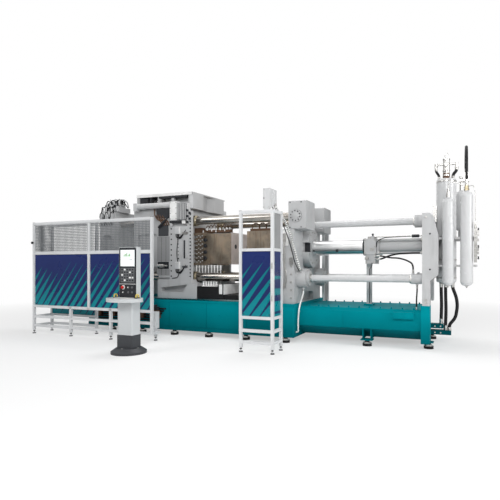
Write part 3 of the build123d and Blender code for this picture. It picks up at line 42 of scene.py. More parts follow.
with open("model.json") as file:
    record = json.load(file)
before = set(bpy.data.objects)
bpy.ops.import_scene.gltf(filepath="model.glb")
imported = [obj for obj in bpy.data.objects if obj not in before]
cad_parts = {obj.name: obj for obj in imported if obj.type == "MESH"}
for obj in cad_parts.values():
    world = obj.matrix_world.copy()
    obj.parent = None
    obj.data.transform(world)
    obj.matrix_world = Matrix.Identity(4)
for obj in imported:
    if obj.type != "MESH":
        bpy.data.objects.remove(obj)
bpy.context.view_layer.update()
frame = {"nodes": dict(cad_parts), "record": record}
NODES = frame["nodes"]

# Boxes of the nodes that the pieces are placed from
BOX = {name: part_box(name) for name in NODES}

# Machine zero in the frame: die side of the fixed platen, centreline
ZERO_X = BOX["fixed_platen"][0].x
ZERO_Y = (BOX["fixed_platen"][0].y + BOX["fixed_platen"][1].y) / 2

# Heights, axes and faces that several pieces share, from the machine's zero
BAR_AXIS_Z = 1.88
BAR_HALF = 0.625
BAR_ROWS = (BAR_AXIS_Z - BAR_HALF, BAR_AXIS_Z + BAR_HALF)
SHOT_Z = 1.885
ROD_Z = 2.373
CHEEK_Y = 0.895
BASE_Y = 1.025
DIE_Y = -0.520
DIE_TOP_Z = 2.246
BOTTLE_Y = -0.490
BOTTLES_X = (3.076, 3.383)
ACCUMULATOR = (3.038, -0.090)
FOOT_NUT_Z = 0.056
GUARD_Y = -2.042
TOWER_Y = -2.178
MULLION_X = -3.870
POST_SIZE = 0.05
PANEL_ROWS = (0.665, 1.190, 1.715)

# Operator's side and far side, and the directions as seen by the operator
SIDES = (-1, 1)
RIGHT, LEFT = (1, 0, 0), (-1, 0, 0)
FRONT, UP, DOWN = (0, -1, 0), (0, 0, 1), (0, 0, -1)

# Camera, from the photograph's perspective
CAMERA_PLACE = (4.168, -8.422, 1.5)
CAMERA_ACROSS = math.radians(22.65)
LENS_MM = 31.64
SENSOR_MM = 36.0
SHIFT_X = -0.0455
SHIFT_Y = 0.0316

# Studio: the level of the light all round, the sky that gloss shows, the floor's fade, the lamps
WHITE = (1, 1, 1)
AMBIENT = 0.34
SKY = ((0.0, 0.42), (0.47, 0.30), (0.52, 0.62), (0.80, 0.95))
FLOOR_SIZE = 60.0
FLOOR_GREY = (0.86, 0.86, 0.86)
FADE_NEAR, FADE_FAR = 5.0, 13.0
LAMPS = (
    ("key", (5.0, -10.0, 6.5), (1.2, 0.0, 1.5), 4.0, 600.0),
    ("left", (-6.5, -9.0, 7.5), (-1.5, 0.0, 1.4), 5.0, 260.0),
    ("right", (11.5, -2.5, 4.0), (1.0, 0.0, 1.7), 4.0, 380.0),
    ("top", (0.5, 1.0, 11.0), (0.5, 0.0, 1.0), 5.0, 420.0),
    ("back", (-3.0, 9.0, 7.0), (0.0, 0.0, 1.5), 6.0, 120.0),
)


def at(x, y, z):
    """A point given from the machine's zero, in metres."""
    return Vector((ZERO_X + x, ZERO_Y + y, z))


class PlantSizes(bpy.types.PropertyGroup):
    """Sizes of the dressing that a user would change."""
    bolt_across: bpy.props.FloatProperty(
        name="Bolt head", description="Diameter of the common bolt heads", default=0.030,
        subtype="DISTANCE", unit="LENGTH")
    mesh_pitch: bpy.props.FloatProperty(
        name="Mesh pitch", description="Distance from wire to wire in the guard windows",
        default=0.034, subtype="DISTANCE", unit="LENGTH")
    mesh_wire: bpy.props.FloatProperty(
        name="Mesh wire", description="Thickness of the wire in the guard windows",
        default=0.009, subtype="DISTANCE", unit="LENGTH")


class PlantColours(bpy.types.PropertyGroup):
    """Main colours, in linear light."""
    paint: bpy.props.FloatVectorProperty(
        name="Machine grey", description="Paint of the platens and frames", subtype="COLOR",
        size=3, default=(0.47, 0.475, 0.48))
    teal: bpy.props.FloatVectorProperty(
        name="Base teal", description="Paint of the base and the shot base", subtype="COLOR",
        size=3, default=(0.0, 0.240, 0.285))
    navy: bpy.props.FloatVectorProperty(
        name="Panel navy", description="Ground colour of the guard panels", subtype="COLOR",
        size=3, default=(0.010, 0.020, 0.100))


# Finishes


class Graph:
    """Adds nodes to a tree, each with its settings, values and links in one call."""

    def __init__(self, tree):
        self.tree = tree

    def node(self, kind, values=None, **settings):
        """A new node; a value is a socket to link from, a colour or a plain value."""
        node = self.tree.nodes.new(kind)
        for key, value in settings.items():
            setattr(node, key, value)
        for key, value in (values or {}).items():
            socket = node.inputs[key]
            if isinstance(value, bpy.types.NodeSocket):
                self.tree.links.new(value, socket)
            elif socket.type == "RGBA":
                socket.default_value = (*value, 1)
            else:
                socket.default_value = value
        return node

    def math(self, operation, first, second=0.0):
        return self.node("ShaderNodeMath", {0: first, 1: second}, operation=operation).outputs[0]

    def ramp(self, source, *stops):
        node = self.node("ShaderNodeValToRGB", {"Fac": source})
        elements = node.color_ramp.elements
        while len(elements) < len(stops):
            elements.new(1.0)
        for element, (place, colour) in zip(elements, stops):
            element.position = place
            element.color = (*colour, 1)
        return node.outputs["Color"]

    def span(self, source, low, high, from_low=0.0, from_high=1.0):
        return self.node("ShaderNodeMapRange", {
            "Value": source, "From Min": from_low, "From Max": from_high,
            "To Min": low, "To Max": high}).outputs["Result"]

    def part(self, vector, letter):
        return self.node("ShaderNodeSeparateXYZ", {"Vector": vector}).outputs[letter]

    def blend(self, factor, first, second):
        """Mixes two shaders."""
        return self.node("ShaderNodeMixShader", {"Fac": factor, 1: first, 2: second}).outputs["Shader"]


class Shade(Graph):
    """Builds one node material: a principled shader fed by noise, ramps and math."""

    def __init__(self, name, colour, rough, metal=0.0, gloss=0.22):
        self.material = bpy.data.materials.new(name)
        self.material.use_nodes = True
        super().__init__(self.material.node_tree)
        self.shader = self.tree.nodes["Principled BSDF"]
        for label, value in (("Base Color", (*colour, 1)), ("Roughness", rough), ("Metallic", metal),
                             ("Specular IOR Level", 0.5 if metal else gloss)):
            self.shader.inputs[label].default_value = value
        self.material.diffuse_color = (*colour, 1)
        self.place = self.node("ShaderNodeTexCoord").outputs["Object"]

    def mapping(self, scale, turn=(0, 0, 0)):
        return self.node("ShaderNodeMapping", {
            "Vector": self.place, "Scale": scale, "Rotation": turn}).outputs["Vector"]

    def noise(self, scale, detail=3.0, stretch=(1, 1, 1)):
        return self.node("ShaderNodeTexNoise", {
            "Vector": self.mapping(stretch), "Scale": scale, "Detail": detail}).outputs["Fac"]

    def mix(self, factor, first, second):
        """Mixes two colours."""
        return self.node("ShaderNodeMix", {0: factor, 6: first, 7: second},
                         data_type="RGBA").outputs[2]

    def height(self):
        return self.part(self.place, "Z")

    def finish(self, colour, rough, relief, strength, depth):
        """Feeds the shader's colour, roughness and bump, and returns the material."""
        normal = self.node("ShaderNodeBump", {"Height": relief, "Strength": strength, "Distance": depth})
        feeds = {"Base Color": colour, "Roughness": rough, "Normal": normal.outputs["Normal"]}
        for label, source in feeds.items():
            if source:
                self.tree.links.new(source, self.shader.inputs[label])
        return self.material


def tint(colour, factor):
    return tuple(min(1.0, c * factor) for c in colour)


def paint_material(name, colour, rough, dust=0.10, gloss=0.22, floor_shade=0.0):
    """Sprayed paint: faint blotches, painted shade that darkens it towards the floor, and the fine ripple
    of a sprayed coat.
    """
    s = Shade(name, colour, rough, gloss=gloss)
    body = s.ramp(s.noise(1.7, 4.0), (0.30, tint(colour, 1 - dust)), (0.70, tint(colour, 1 + dust * 0.5)))
    # Painted shade: the colour darkens towards the floor, below 0.62 m up
    body = s.mix(s.span(s.height(), floor_shade, 0.0, 0.10, 0.62), body, tint(colour, 0.35))
    speck = s.span(s.noise(60.0, 2.0), 0.0, 0.35, 0.62, 0.80)
    return s.finish(s.mix(speck, body, tint(colour, 0.82)),
                    s.span(s.noise(5.0, 3.0), rough - 0.06, rough + 0.10),
                    s.noise(220.0, 1.0), 0.12, 0.0006)


def cast_material(name, colour, rough):
    """Painted casting: a coarser skin under the paint, oil-dark streaks and rubbed patches."""
    s = Shade(name, colour, rough)
    body = s.ramp(s.noise(1.3, 5.0), (0.28, tint(colour, 0.84)), (0.50, colour), (0.74, tint(colour, 1.07)))
    streak = s.span(s.noise(3.0, 4.0, (2.6, 2.6, 0.35)), 0.0, 0.55, 0.60, 0.78)
    grain = s.math("ADD", s.noise(45.0, 4.0), s.math("MULTIPLY", s.noise(9.0, 2.0), 1.5))
    return s.finish(s.mix(streak, body, tint(colour, 0.66)),
                    s.span(s.noise(7.0, 3.0), rough - 0.08, rough + 0.12), grain, 0.22, 0.0016)


def steel_material(name, colour, rough, lay=(1, 18, 18), streaks=30.0):
    """Bare steel: turning or grinding marks in one direction, with oily clouds."""
    s = Shade(name, colour, rough, 1.0)
    mark = s.noise(streaks, 3.0, lay)
    return s.finish(s.ramp(s.noise(2.4, 4.0), (0.3, tint(colour, 0.72)), (0.65, colour)),
                    s.span(mark, rough * 0.7, rough * 1.5), mark, 0.08, 0.0004)


def die_material(name, colour):
    """Die steel from use: heat tints from straw to brown, water stains and milling marks."""
    s = Shade(name, colour, 0.42, 0.75)
    body = s.ramp(s.noise(3.2, 5.0), (0.25, tint(colour, 0.55)), (0.45, colour),
                  (0.60, (0.33, 0.26, 0.19)), (0.80, tint(colour, 1.35)))
    stain = s.span(s.noise(5.0, 4.0, (5.0, 5.0, 0.4)), 0.0, 0.7, 0.55, 0.75)
    return s.finish(s.mix(stain, body, (0.12, 0.075, 0.045)), s.span(s.noise(14.0, 3.0), 0.30, 0.60),
                    s.noise(70.0, 2.0, (1, 1, 12)), 0.15, 0.0006)


def plain_material(name, colour, rough, metal=0.0, grain=120.0, depth=0.0005):
    """Moulded, cast or rubber surface with a fine grain and slight wear in its gloss."""
    s = Shade(name, colour, rough, metal)
    return s.finish(s.ramp(s.noise(6.0, 4.0), (0.3, tint(colour, 0.85)), (0.7, tint(colour, 1.08))),
                    s.span(s.noise(18.0, 2.0), rough - 0.05, rough + 0.08),
                    s.noise(grain, 2.0), 0.15, depth)


BAR_PITCH = 0.150
BAR_SLANT = math.radians(-38)


def panel_material(name, navy, teal):
    """Panel print: slanted bars that widen downwards, teal on navy, under clear lacquer."""
    low_z, high_z = (corner.z for corner in BOX["guard_panels"])
    s = Shade(name, navy, 0.28)
    across = s.part(s.mapping((1, 1, 1), (0, BAR_SLANT, 0)), "X")
    phase = s.math("FRACT", s.math("DIVIDE", across, BAR_PITCH))
    distance = s.math("ABSOLUTE", s.math("SUBTRACT", phase, 0.5))
    width = s.span(s.height(), 0.46, -0.06, low_z, high_z)
    sway = s.math("MULTIPLY", s.math("SUBTRACT", s.noise(0.9, 1.0), 0.5), 0.35)
    inside = s.math("LESS_THAN", distance, s.math("ADD", width, sway))
    share = s.span(s.height(), 0.0, 1.0, low_z, high_z)
    ground = s.ramp(share, (0.0, tint(navy, 0.8)), (1.0, tint(navy, 1.25)))
    bars = s.ramp(share, (0.0, teal), (1.0, tint(teal, 0.55)))
    return s.finish(s.mix(inside, ground, bars), s.span(s.noise(4.0, 3.0), 0.22, 0.36),
                    s.noise(180.0, 1.0), 0.06, 0.0004)


def glow_material(name, colour, strength):
    """Lit screen behind glass, with a weak light of its own."""
    s = Shade(name, colour, 0.12)
    s.shader.inputs["Emission Color"].default_value = (*colour, 1)
    s.shader.inputs["Emission Strength"].default_value = strength
    return s.finish(None, s.span(s.noise(9.0, 2.0), 0.08, 0.18), s.noise(90.0, 1.0), 0.03, 0.0002)


def make_materials(colours):
    """Every finish of the plant, by the name of the record's slot or of the loose piece."""
    paint = tuple(colours.paint)
    teal = tuple(colours.teal)
    kinds = {
        # The teal paint carries painted shade that darkens it towards the floor
        "teal_paint": (paint_material, teal, 0.45, 0.08, 0.015, 0.80),
        "dark_teal_paint": (paint_material, tint(teal, 0.30), 0.45, 0.12, 0.03),
        "grey_paint": (cast_material, paint, 0.46),
        "light_grey_paint": (paint_material, tint(paint, 1.22), 0.24, 0.05, 0.45),
        "guard_grey_paint": (paint_material, (0.66, 0.67, 0.68), 0.38, 0.06),
        "mesh_grey_paint": (paint_material, (0.20, 0.21, 0.22), 0.45, 0.06),
        "panel_blue_paint": (panel_material, tuple(colours.navy), teal),
        "console_grey_paint": (paint_material, (0.55, 0.57, 0.58), 0.38, 0.04),
        "plinth_grey_paint": (paint_material, (0.055, 0.058, 0.064), 0.42, 0.1),
        "shade_grey": (cast_material, tint(paint, 0.62), 0.50),
        "black_paint": (paint_material, (0.011, 0.011, 0.012), 0.5, 0.25),
        "bare_steel": (steel_material, (0.60, 0.59, 0.57), 0.26),
        "hard_chrome": (steel_material, (0.80, 0.80, 0.80), 0.34),
        "die_steel": (die_material, (0.24, 0.20, 0.155)),
        "bronze": (steel_material, (0.36, 0.31, 0.21), 0.36, (1, 1, 1)),
        "hose_rubber": (plain_material, (0.009, 0.009, 0.010), 0.50),
        "conduit_plastic": (plain_material, (0.85, 0.85, 0.83), 0.40),
        "white_plastic": (plain_material, (0.86, 0.86, 0.85), 0.40),
        "yellow_plastic": (plain_material, (0.66, 0.52, 0.12), 0.38),
        "red_plastic": (plain_material, (0.55, 0.015, 0.012), 0.35),
        "dark_plastic": (plain_material, (0.028, 0.030, 0.034), 0.35),
        "brown_rust": (plain_material, (0.115, 0.062, 0.036), 0.62, 0.3, 60.0, 0.001),
        "die_face": (plain_material, (0.74, 0.66, 0.62), 0.45, 0.2),
        "key_green": (plain_material, (0.16, 0.50, 0.14), 0.40),
        "key_grey": (plain_material, (0.13, 0.135, 0.14), 0.40),
        "screen_glass": (glow_material, (0.80, 0.84, 0.84), 0.35),
        "polished_bar": (steel_material, (0.52, 0.49, 0.45), 0.17, (0.6, 30, 30), 12.0),
    }
    return {name: maker(name, *values) for name, (maker, *values) in kinds.items()}


MATERIALS = {}

# Nodes that wear another finish than their slot's plain one
SPECIAL = {"tie_bars": "polished_bar", "top_cylinders": "light_grey_paint", "tower_sheets": "shade_grey"}


# Blocks, turned parts and the finish of each piece


def add_piece(name, bm, finish, body="root"):
    """Turns a bmesh into a finished piece: normals out, one finish, and the body it rides on."""
    bmesh.ops.remove_doubles(bm, verts=bm.verts, dist=1e-6)
    bmesh.ops.recalc_face_normals(bm, faces=bm.faces)
    mesh = bpy.data.meshes.new(name)
    bm.to_mesh(mesh)
    bm.free()
    return add_mesh(name, mesh, finish, body)


def add_mesh(name, mesh, finish, body="root"):
    piece = bpy.data.objects.new(name, mesh)
    bpy.context.scene.collection.objects.link(piece)
    mesh.materials.clear()
    mesh.materials.append(MATERIALS[finish])
    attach(piece, body)
    return piece


def soft_box(bm, low, high, bevel):
    """A block with rounded edges."""
    size = high - low
    made = bmesh.ops.create_cube(bm, size=1.0)["verts"]
    place = Matrix.Translation((low + high) / 2) @ Matrix.Diagonal((*size, 1))
    bmesh.ops.transform(bm, matrix=place, verts=made)
    if bevel > 0:
        edges = list({e for v in made for e in v.link_edges})
        bmesh.ops.bevel(bm, geom=edges, offset=min(bevel, min(size) * 0.45), segments=2,
                        affect="EDGES")


def turned(bm, profile, place, axis, sides, closed):
    """A turned solid: (distance along the axis, radius) pairs spun about the axis at place.

    A closed profile makes a ring, with no caps.
    """
    aim = Vector(axis).normalized().to_track_quat("Z", "Y").to_matrix().to_4x4()
    matrix = Matrix.Translation(place) @ aim
    angles = [2 * math.pi * i / sides for i in range(sides)]
    rings = [[bm.verts.new(matrix @ Vector((radius * math.cos(a), radius * math.sin(a), along)))
              for a in angles] for along, radius in profile]
    if closed:
        rings.append(rings[0])
    for lower, upper in zip(rings, rings[1:]):
        for i in range(sides):
            j = (i + 1) % sides
            bm.faces.new((lower[i], lower[j], upper[j], upper[i]))
    if not closed:
        bm.faces.new(list(reversed(rings[0])))
        bm.faces.new(rings[-1])


def smooth_sides(piece, angle=math.radians(35)):
    piece.data.shade_smooth()
    sharp = piece.modifiers.new("edges", "EDGE_SPLIT")
    sharp.split_angle = angle
    return piece


# What repeats: bolt heads, crossed wires, tubes and rings


class Tree(Graph):
    """Builds a geometry node group whose named inputs are the sizes it needs."""

    def __init__(self, name, **inputs):
        super().__init__(bpy.data.node_groups.new(name, "GeometryNodeTree"))
        face = self.tree.interface
        face.new_socket("Geometry", in_out="INPUT", socket_type="NodeSocketGeometry")
        self.sockets = {}
        for label, kind in {"Finish": "Material", **inputs}.items():
            made = face.new_socket(label, in_out="INPUT", socket_type="NodeSocket" + kind)
            self.sockets[label] = made.identifier
        face.new_socket("Geometry", in_out="OUTPUT", socket_type="NodeSocketGeometry")
        self.input = self.tree.nodes.new("NodeGroupInput").outputs
        self.end = self.tree.nodes.new("NodeGroupOutput")

    def vector(self, x=0.0, y=0.0, z=0.0):
        return self.node("ShaderNodeCombineXYZ", {"X": x, "Y": y, "Z": z}).outputs["Vector"]

    def attribute(self, name, kind):
        return self.node("GeometryNodeInputNamedAttribute", {"Name": name},
                         data_type=kind).outputs["Attribute"]

    def join(self, *parts):
        both = self.node("GeometryNodeJoinGeometry")
        for part in parts:
            self.tree.links.new(part, both.inputs["Geometry"])
        return both.outputs["Geometry"]

    def moved(self, geometry, offset):
        return self.node("GeometryNodeTransform", {
            "Geometry": geometry, "Translation": offset}).outputs["Geometry"]

    def copies(self, points, instance, **more):
        return self.node("GeometryNodeInstanceOnPoints", {
            "Points": points, "Instance": instance, **more}).outputs["Instances"]

    def cylinder(self, vertices, radius, depth):
        return self.node("GeometryNodeMeshCylinder", {
            "Vertices": vertices, "Radius": radius, "Depth": depth}).outputs["Mesh"]

    def close(self, geometry):
        """Realises the instances, sets the finish and ends the tree."""
        real = self.node("GeometryNodeRealizeInstances", {"Geometry": geometry}).outputs["Geometry"]
        finish = self.node("GeometryNodeSetMaterial", {"Geometry": real, "Material": self.input["Finish"]})
        self.tree.links.new(finish.outputs["Geometry"], self.end.inputs["Geometry"])
        return self


def grow(name, tree, source_mesh, finish, body="root", **values):
    """Runs a tree on a source mesh and keeps the result as one plain piece."""
    holder = bpy.data.objects.new(name + "_source", source_mesh)
    bpy.context.scene.collection.objects.link(holder)
    modifier = holder.modifiers.new("nodes", "NODES")
    modifier.node_group = tree.tree
    modifier[tree.sockets["Finish"]] = MATERIALS[finish]
    for label, value in values.items():
        modifier[tree.sockets[label]] = value
    graph = bpy.context.evaluated_depsgraph_get()
    mesh = bpy.data.meshes.new_from_object(holder.evaluated_get(graph))
    mesh.name = name
    bpy.data.objects.remove(holder)
    return add_mesh(name, mesh, finish, body)


def points_mesh(places):
    """Loose points that carry the direction each bolt or pin faces."""
    mesh = bpy.data.meshes.new("places")
    mesh.from_pydata([tuple(p) for p, _ in places], [], [])
    facing = mesh.attributes.new("facing", "FLOAT_VECTOR", "POINT")
    for i, (_, direction) in enumerate(places):
        facing.data[i].vector = Vector(direction).normalized()
    return mesh


def bolt_tree():
    """A washer and a socket or hexagon head on each point, turned the way the point faces."""
    tree = Tree("bolt_heads", Radius="Float", Height="Float", Sides="Int")
    radius, height = tree.input["Radius"], tree.input["Height"]
    washer = tree.cylinder(12, tree.math("MULTIPLY", radius, 1.35), tree.math("MULTIPLY", height, 0.5))
    head = tree.cylinder(tree.input["Sides"], radius, height)
    lifted = tree.moved(head, tree.vector(z=tree.math("MULTIPLY", height, 0.6)))
    aim = tree.node("FunctionNodeAlignRotationToVector",
                    {"Vector": tree.attribute("facing", "FLOAT_VECTOR")}, axis="Z")
    return tree.close(tree.copies(tree.input["Geometry"], tree.join(washer, lifted),
                                  Rotation=aim.outputs["Rotation"]))


def screen_tree():
    """Crossed wires over a rectangle in the X-Z plane."""
    tree = Tree("wire_screen", Width="Float", Height="Float", Pitch="Float", Wire="Float")
    wire = tree.input["Wire"]
    layers = []
    for across in (True, False):
        span = tree.input["Width" if across else "Height"]
        length = tree.input["Height" if across else "Width"]
        count = tree.math("FLOOR", tree.math("DIVIDE", span, tree.input["Pitch"]))
        step = tree.math("DIVIDE", span, tree.math("ADD", count, 1.0))
        offset = tree.vector(x=step) if across else tree.vector(z=step)
        line = tree.node("GeometryNodeMeshLine", {"Count": count, "Start Location": offset,
                                                  "Offset": offset}, mode="OFFSET")
        half = tree.math("MULTIPLY", length, 0.5)
        size = tree.vector(wire, wire, length) if across else tree.vector(length, wire, wire)
        rod = tree.node("GeometryNodeMeshCube", {"Size": size}).outputs["Mesh"]
        middle = tree.vector(z=half) if across else tree.vector(x=half)
        layers.append(tree.copies(line.outputs["Mesh"], tree.moved(rod, middle)))
    return tree.close(tree.join(*layers))


def path_of(tree):
    """The input polyline as a curve whose corners are rounded by the radius each one carries."""
    line = tree.node("GeometryNodeMeshToCurve", {"Mesh": tree.input["Geometry"]})
    return tree.node("GeometryNodeFilletCurve", {
        "Curve": line.outputs["Curve"], "Count": 8, "Radius": tree.attribute("bend", "FLOAT")},
        mode="POLY").outputs["Curve"]


def pipe_tree():
    """A round tube along the polyline."""
    tree = Tree("pipes", Radius="Float")
    ring = tree.node("GeometryNodeCurvePrimitiveCircle",
                     {"Resolution": 12, "Radius": tree.input["Radius"]}, mode="RADIUS")
    swept = tree.node("GeometryNodeCurveToMesh", {
        "Curve": path_of(tree), "Profile Curve": ring.outputs["Curve"], "Fill Caps": True})
    return tree.close(swept.outputs["Mesh"])


def rib_tree():
    """Raised rings at a constant pitch along the polyline, as on corrugated conduit."""
    tree = Tree("ribs", Radius="Float", Pitch="Float", Width="Float")
    marks = tree.node("GeometryNodeCurveToPoints", {
        "Curve": path_of(tree), "Length": tree.input["Pitch"]}, mode="LENGTH").outputs
    ring = tree.cylinder(14, tree.input["Radius"], tree.input["Width"])
    return tree.close(tree.copies(marks["Points"], ring, Rotation=marks["Rotation"]))


TREES = {}


def route_mesh(routes):
    """Polylines, given from the machine's zero, with a bend radius at every corner."""
    points, edges, bends = [], [], []
    for route in routes:
        route = [at(*point) for point in route]
        edges += [(len(points) + i, len(points) + i + 1) for i in range(len(route) - 1)]
        bends.append(0.0)
        for before, corner, after in zip(route, route[1:], route[2:]):
            run_in, run_out = corner - before, after - corner
            turn = max(run_in.angle(run_out), 1e-3)
            bends.append(0.45 * min(run_in.length, run_out.length) / math.tan(turn / 2))
        bends.append(0.0)
        points += route
    mesh = bpy.data.meshes.new("routes")
    mesh.from_pydata([tuple(p) for p in points], edges, [])
    bend = mesh.attributes.new("bend", "FLOAT", "POINT")
    for i, value in enumerate(bends):
        bend.data[i].value = value
    return mesh


def pipes(name, routes, radius, finish, body="root"):
    """Round tubes along the routes."""
    piece = grow(name, TREES["pipes"], route_mesh(routes), finish, body, Radius=radius)
    return smooth_sides(piece, math.radians(50))


def ribs(name, routes, radius, pitch, width, finish):
    """Rings along the routes."""
    return grow(name, TREES["ribs"], route_mesh(routes), finish, Radius=radius, Pitch=pitch, Width=width)


def bolts(name, places, radius, height=0.014, sides=6, finish="bare_steel", body="root"):
    """Washers and heads at the places, each a point and the direction it faces."""
    return grow(name, TREES["bolts"], points_mesh(places), finish, body,
                Radius=radius, Height=height, Sides=sides)


def boxes(name, spans, finish, body="root", bevel=0.004):
    """One piece of several blocks, each x0, x1, y0, y1, z0, z1 from the machine's zero."""
    bm = bmesh.new()
    for x0, x1, y0, y1, z0, z1 in spans:
        soft_box(bm, at(x0, y0, z0), at(x1, y1, z1), bevel)
    return add_piece(name, bm, finish, body)


def plates(rows, body="root", x=0.0, y=0.0):
    """One piece for each row of name, finish, bevel and spans; x and y move the spans."""
    for name, finish, bevel, *spans in rows:
        boxes(name, [(x + x0, x + x1, y + y0, y + y1, z0, z1) for x0, x1, y0, y1, z0, z1 in spans],
              finish, body, bevel)


def spun(name, parts, finish, body="root", sides=24, closed=False):
    """One piece of several turned parts, each a place, an axis and its outline."""
    bm = bmesh.new()
    for place, axis, outline in parts:
        turned(bm, outline, at(*place), axis, sides, closed)
    return smooth_sides(add_piece(name, bm, finish, body))


def shifted(box, count, step):
    """A block and its copies along X."""
    x0, x1, *rest = box
    return [(x0 + step * i, x1 + step * i, *rest) for i in range(count)]


def disc(radius, depth):
    """Outline of a plain disc or rod."""
    return [(0, radius), (depth, radius)]


def cap(radius, depth, edge, top):
    """Outline of a disc whose far edge narrows to the top radius."""
    return [(0, radius), (depth, radius), (edge, top)]


def stepped(radius, depth, edge, thin, length):
    """Outline of a disc that goes on as a rod of another radius."""
    return [(0, radius), (depth, radius), (edge, thin), (length, thin)]


def ferrule(radius, length):
    """Outline of a crimped hose end: a hexagon-like shoulder, a step and two crimps."""
    return [(0.0, radius * 1.25), (length * 0.22, radius * 1.25), (length * 0.24, radius * 1.08),
            (length * 0.45, radius * 1.14), (length * 0.50, radius * 1.08),
            (length * 0.72, radius * 1.14), (length * 0.78, radius * 1.08), (length, radius * 1.06)]


def ring_places(centre, axis, radius, count, start=0.0):
    """Points on a circle about a centre given from the machine's zero, facing along the axis."""
    axis = Vector(axis).normalized()
    aim = axis.to_track_quat("Z", "Y")
    places = []
    for i in range(count):
        a = start + 2 * math.pi * i / count
        offset = aim @ Vector((radius * math.cos(a), radius * math.sin(a), 0))
        places.append((at(*centre) + offset, axis))
    return places


def row_places(first, last, count, axis):
    """Points in a row between two ends given from the machine's zero."""
    first, last = at(*first), at(*last)
    return [(first.lerp(last, i / (count - 1)), axis) for i in range(count)]


def face_places(columns, y, rows):
    """Points at every crossing of the columns (x) and rows (z) on a face toward the operator."""
    return [(at(x, y, z), FRONT) for x in columns for z in rows]


def screen(name, corner, width, height, turn, sizes):
    """One wire screen from its lower corner; turn is its heading about Z."""
    mesh = bpy.data.meshes.new("corner")
    mesh.from_pydata([(0, 0, 0)], [], [])
    piece = grow(name, TREES["screen"], mesh, "mesh_grey_paint", Width=width, Height=height,
                 Pitch=sizes.mesh_pitch, Wire=sizes.mesh_wire)
    piece.data.transform(Matrix.Translation(Vector(corner)) @ Matrix.Rotation(turn, 4, "Z"))
    return piece


# Pieces

# Levelling feet under the clamp base, and those under the shot base and the end frame
FOOT_PLACES = [(0.123 - 0.866 * i, 0.990, side) for i in range(6) for side in SIDES]
FOOT_PLACES += [(x, y, side) for x, y in ((1.668, 0.736), (2.750, 0.590)) for side in SIDES]


class DIECAST_OT_finishes(bpy.types.Operator):
    """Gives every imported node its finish"""
    bl_idname = "diecast.finishes"
    bl_label = "Finishes"

    def execute(self, context):
        MATERIALS.update(make_materials(context.scene.plant_colours))
        TREES.update(bolts=bolt_tree(), screen=screen_tree(), pipes=pipe_tree(), ribs=rib_tree())
        for entry in frame["record"]["subparts"]:
            node = entry["node"]
            materials = NODES[node].data.materials
            materials.clear()
            materials.append(MATERIALS[SPECIAL.get(node, entry["material_slot"])])
        return {"FINISHED"}


class DIECAST_OT_screens(bpy.types.Operator):
    """Wire screens in the upper half of the guards, in place of plain sheets"""
    bl_idname = "diecast.screens"
    bl_label = "Guard screens"

    def execute(self, context):
        sizes = context.scene.plant_sizes
        half = POST_SIZE / 2
        inset = 0.003
        mullion = ZERO_X + MULLION_X
        for node in ("guard_mesh", "rear_guard_mesh"):
            low, high = BOX[node]
            front = node == "guard_mesh"
            y = low.y + inset if front else high.y - inset
            tall = high.z - low.z
            windows = ((low.x + half if front else low.x, mullion - half), (mullion + half, high.x))
            pieces = [screen(f"{node}_window_{i + 1}", (x0, y, low.z), x1 - x0, tall, 0.0, sizes)
                      for i, (x0, x1) in enumerate(windows)]
            if front:
                corner = (BOX["guard_posts"][0].x + half, low.y + POST_SIZE, low.z)
                screen("guard_mesh_end", corner, high.y - low.y - POST_SIZE, tall, math.pi / 2, sizes)
            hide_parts(node)
        return {"FINISHED"}


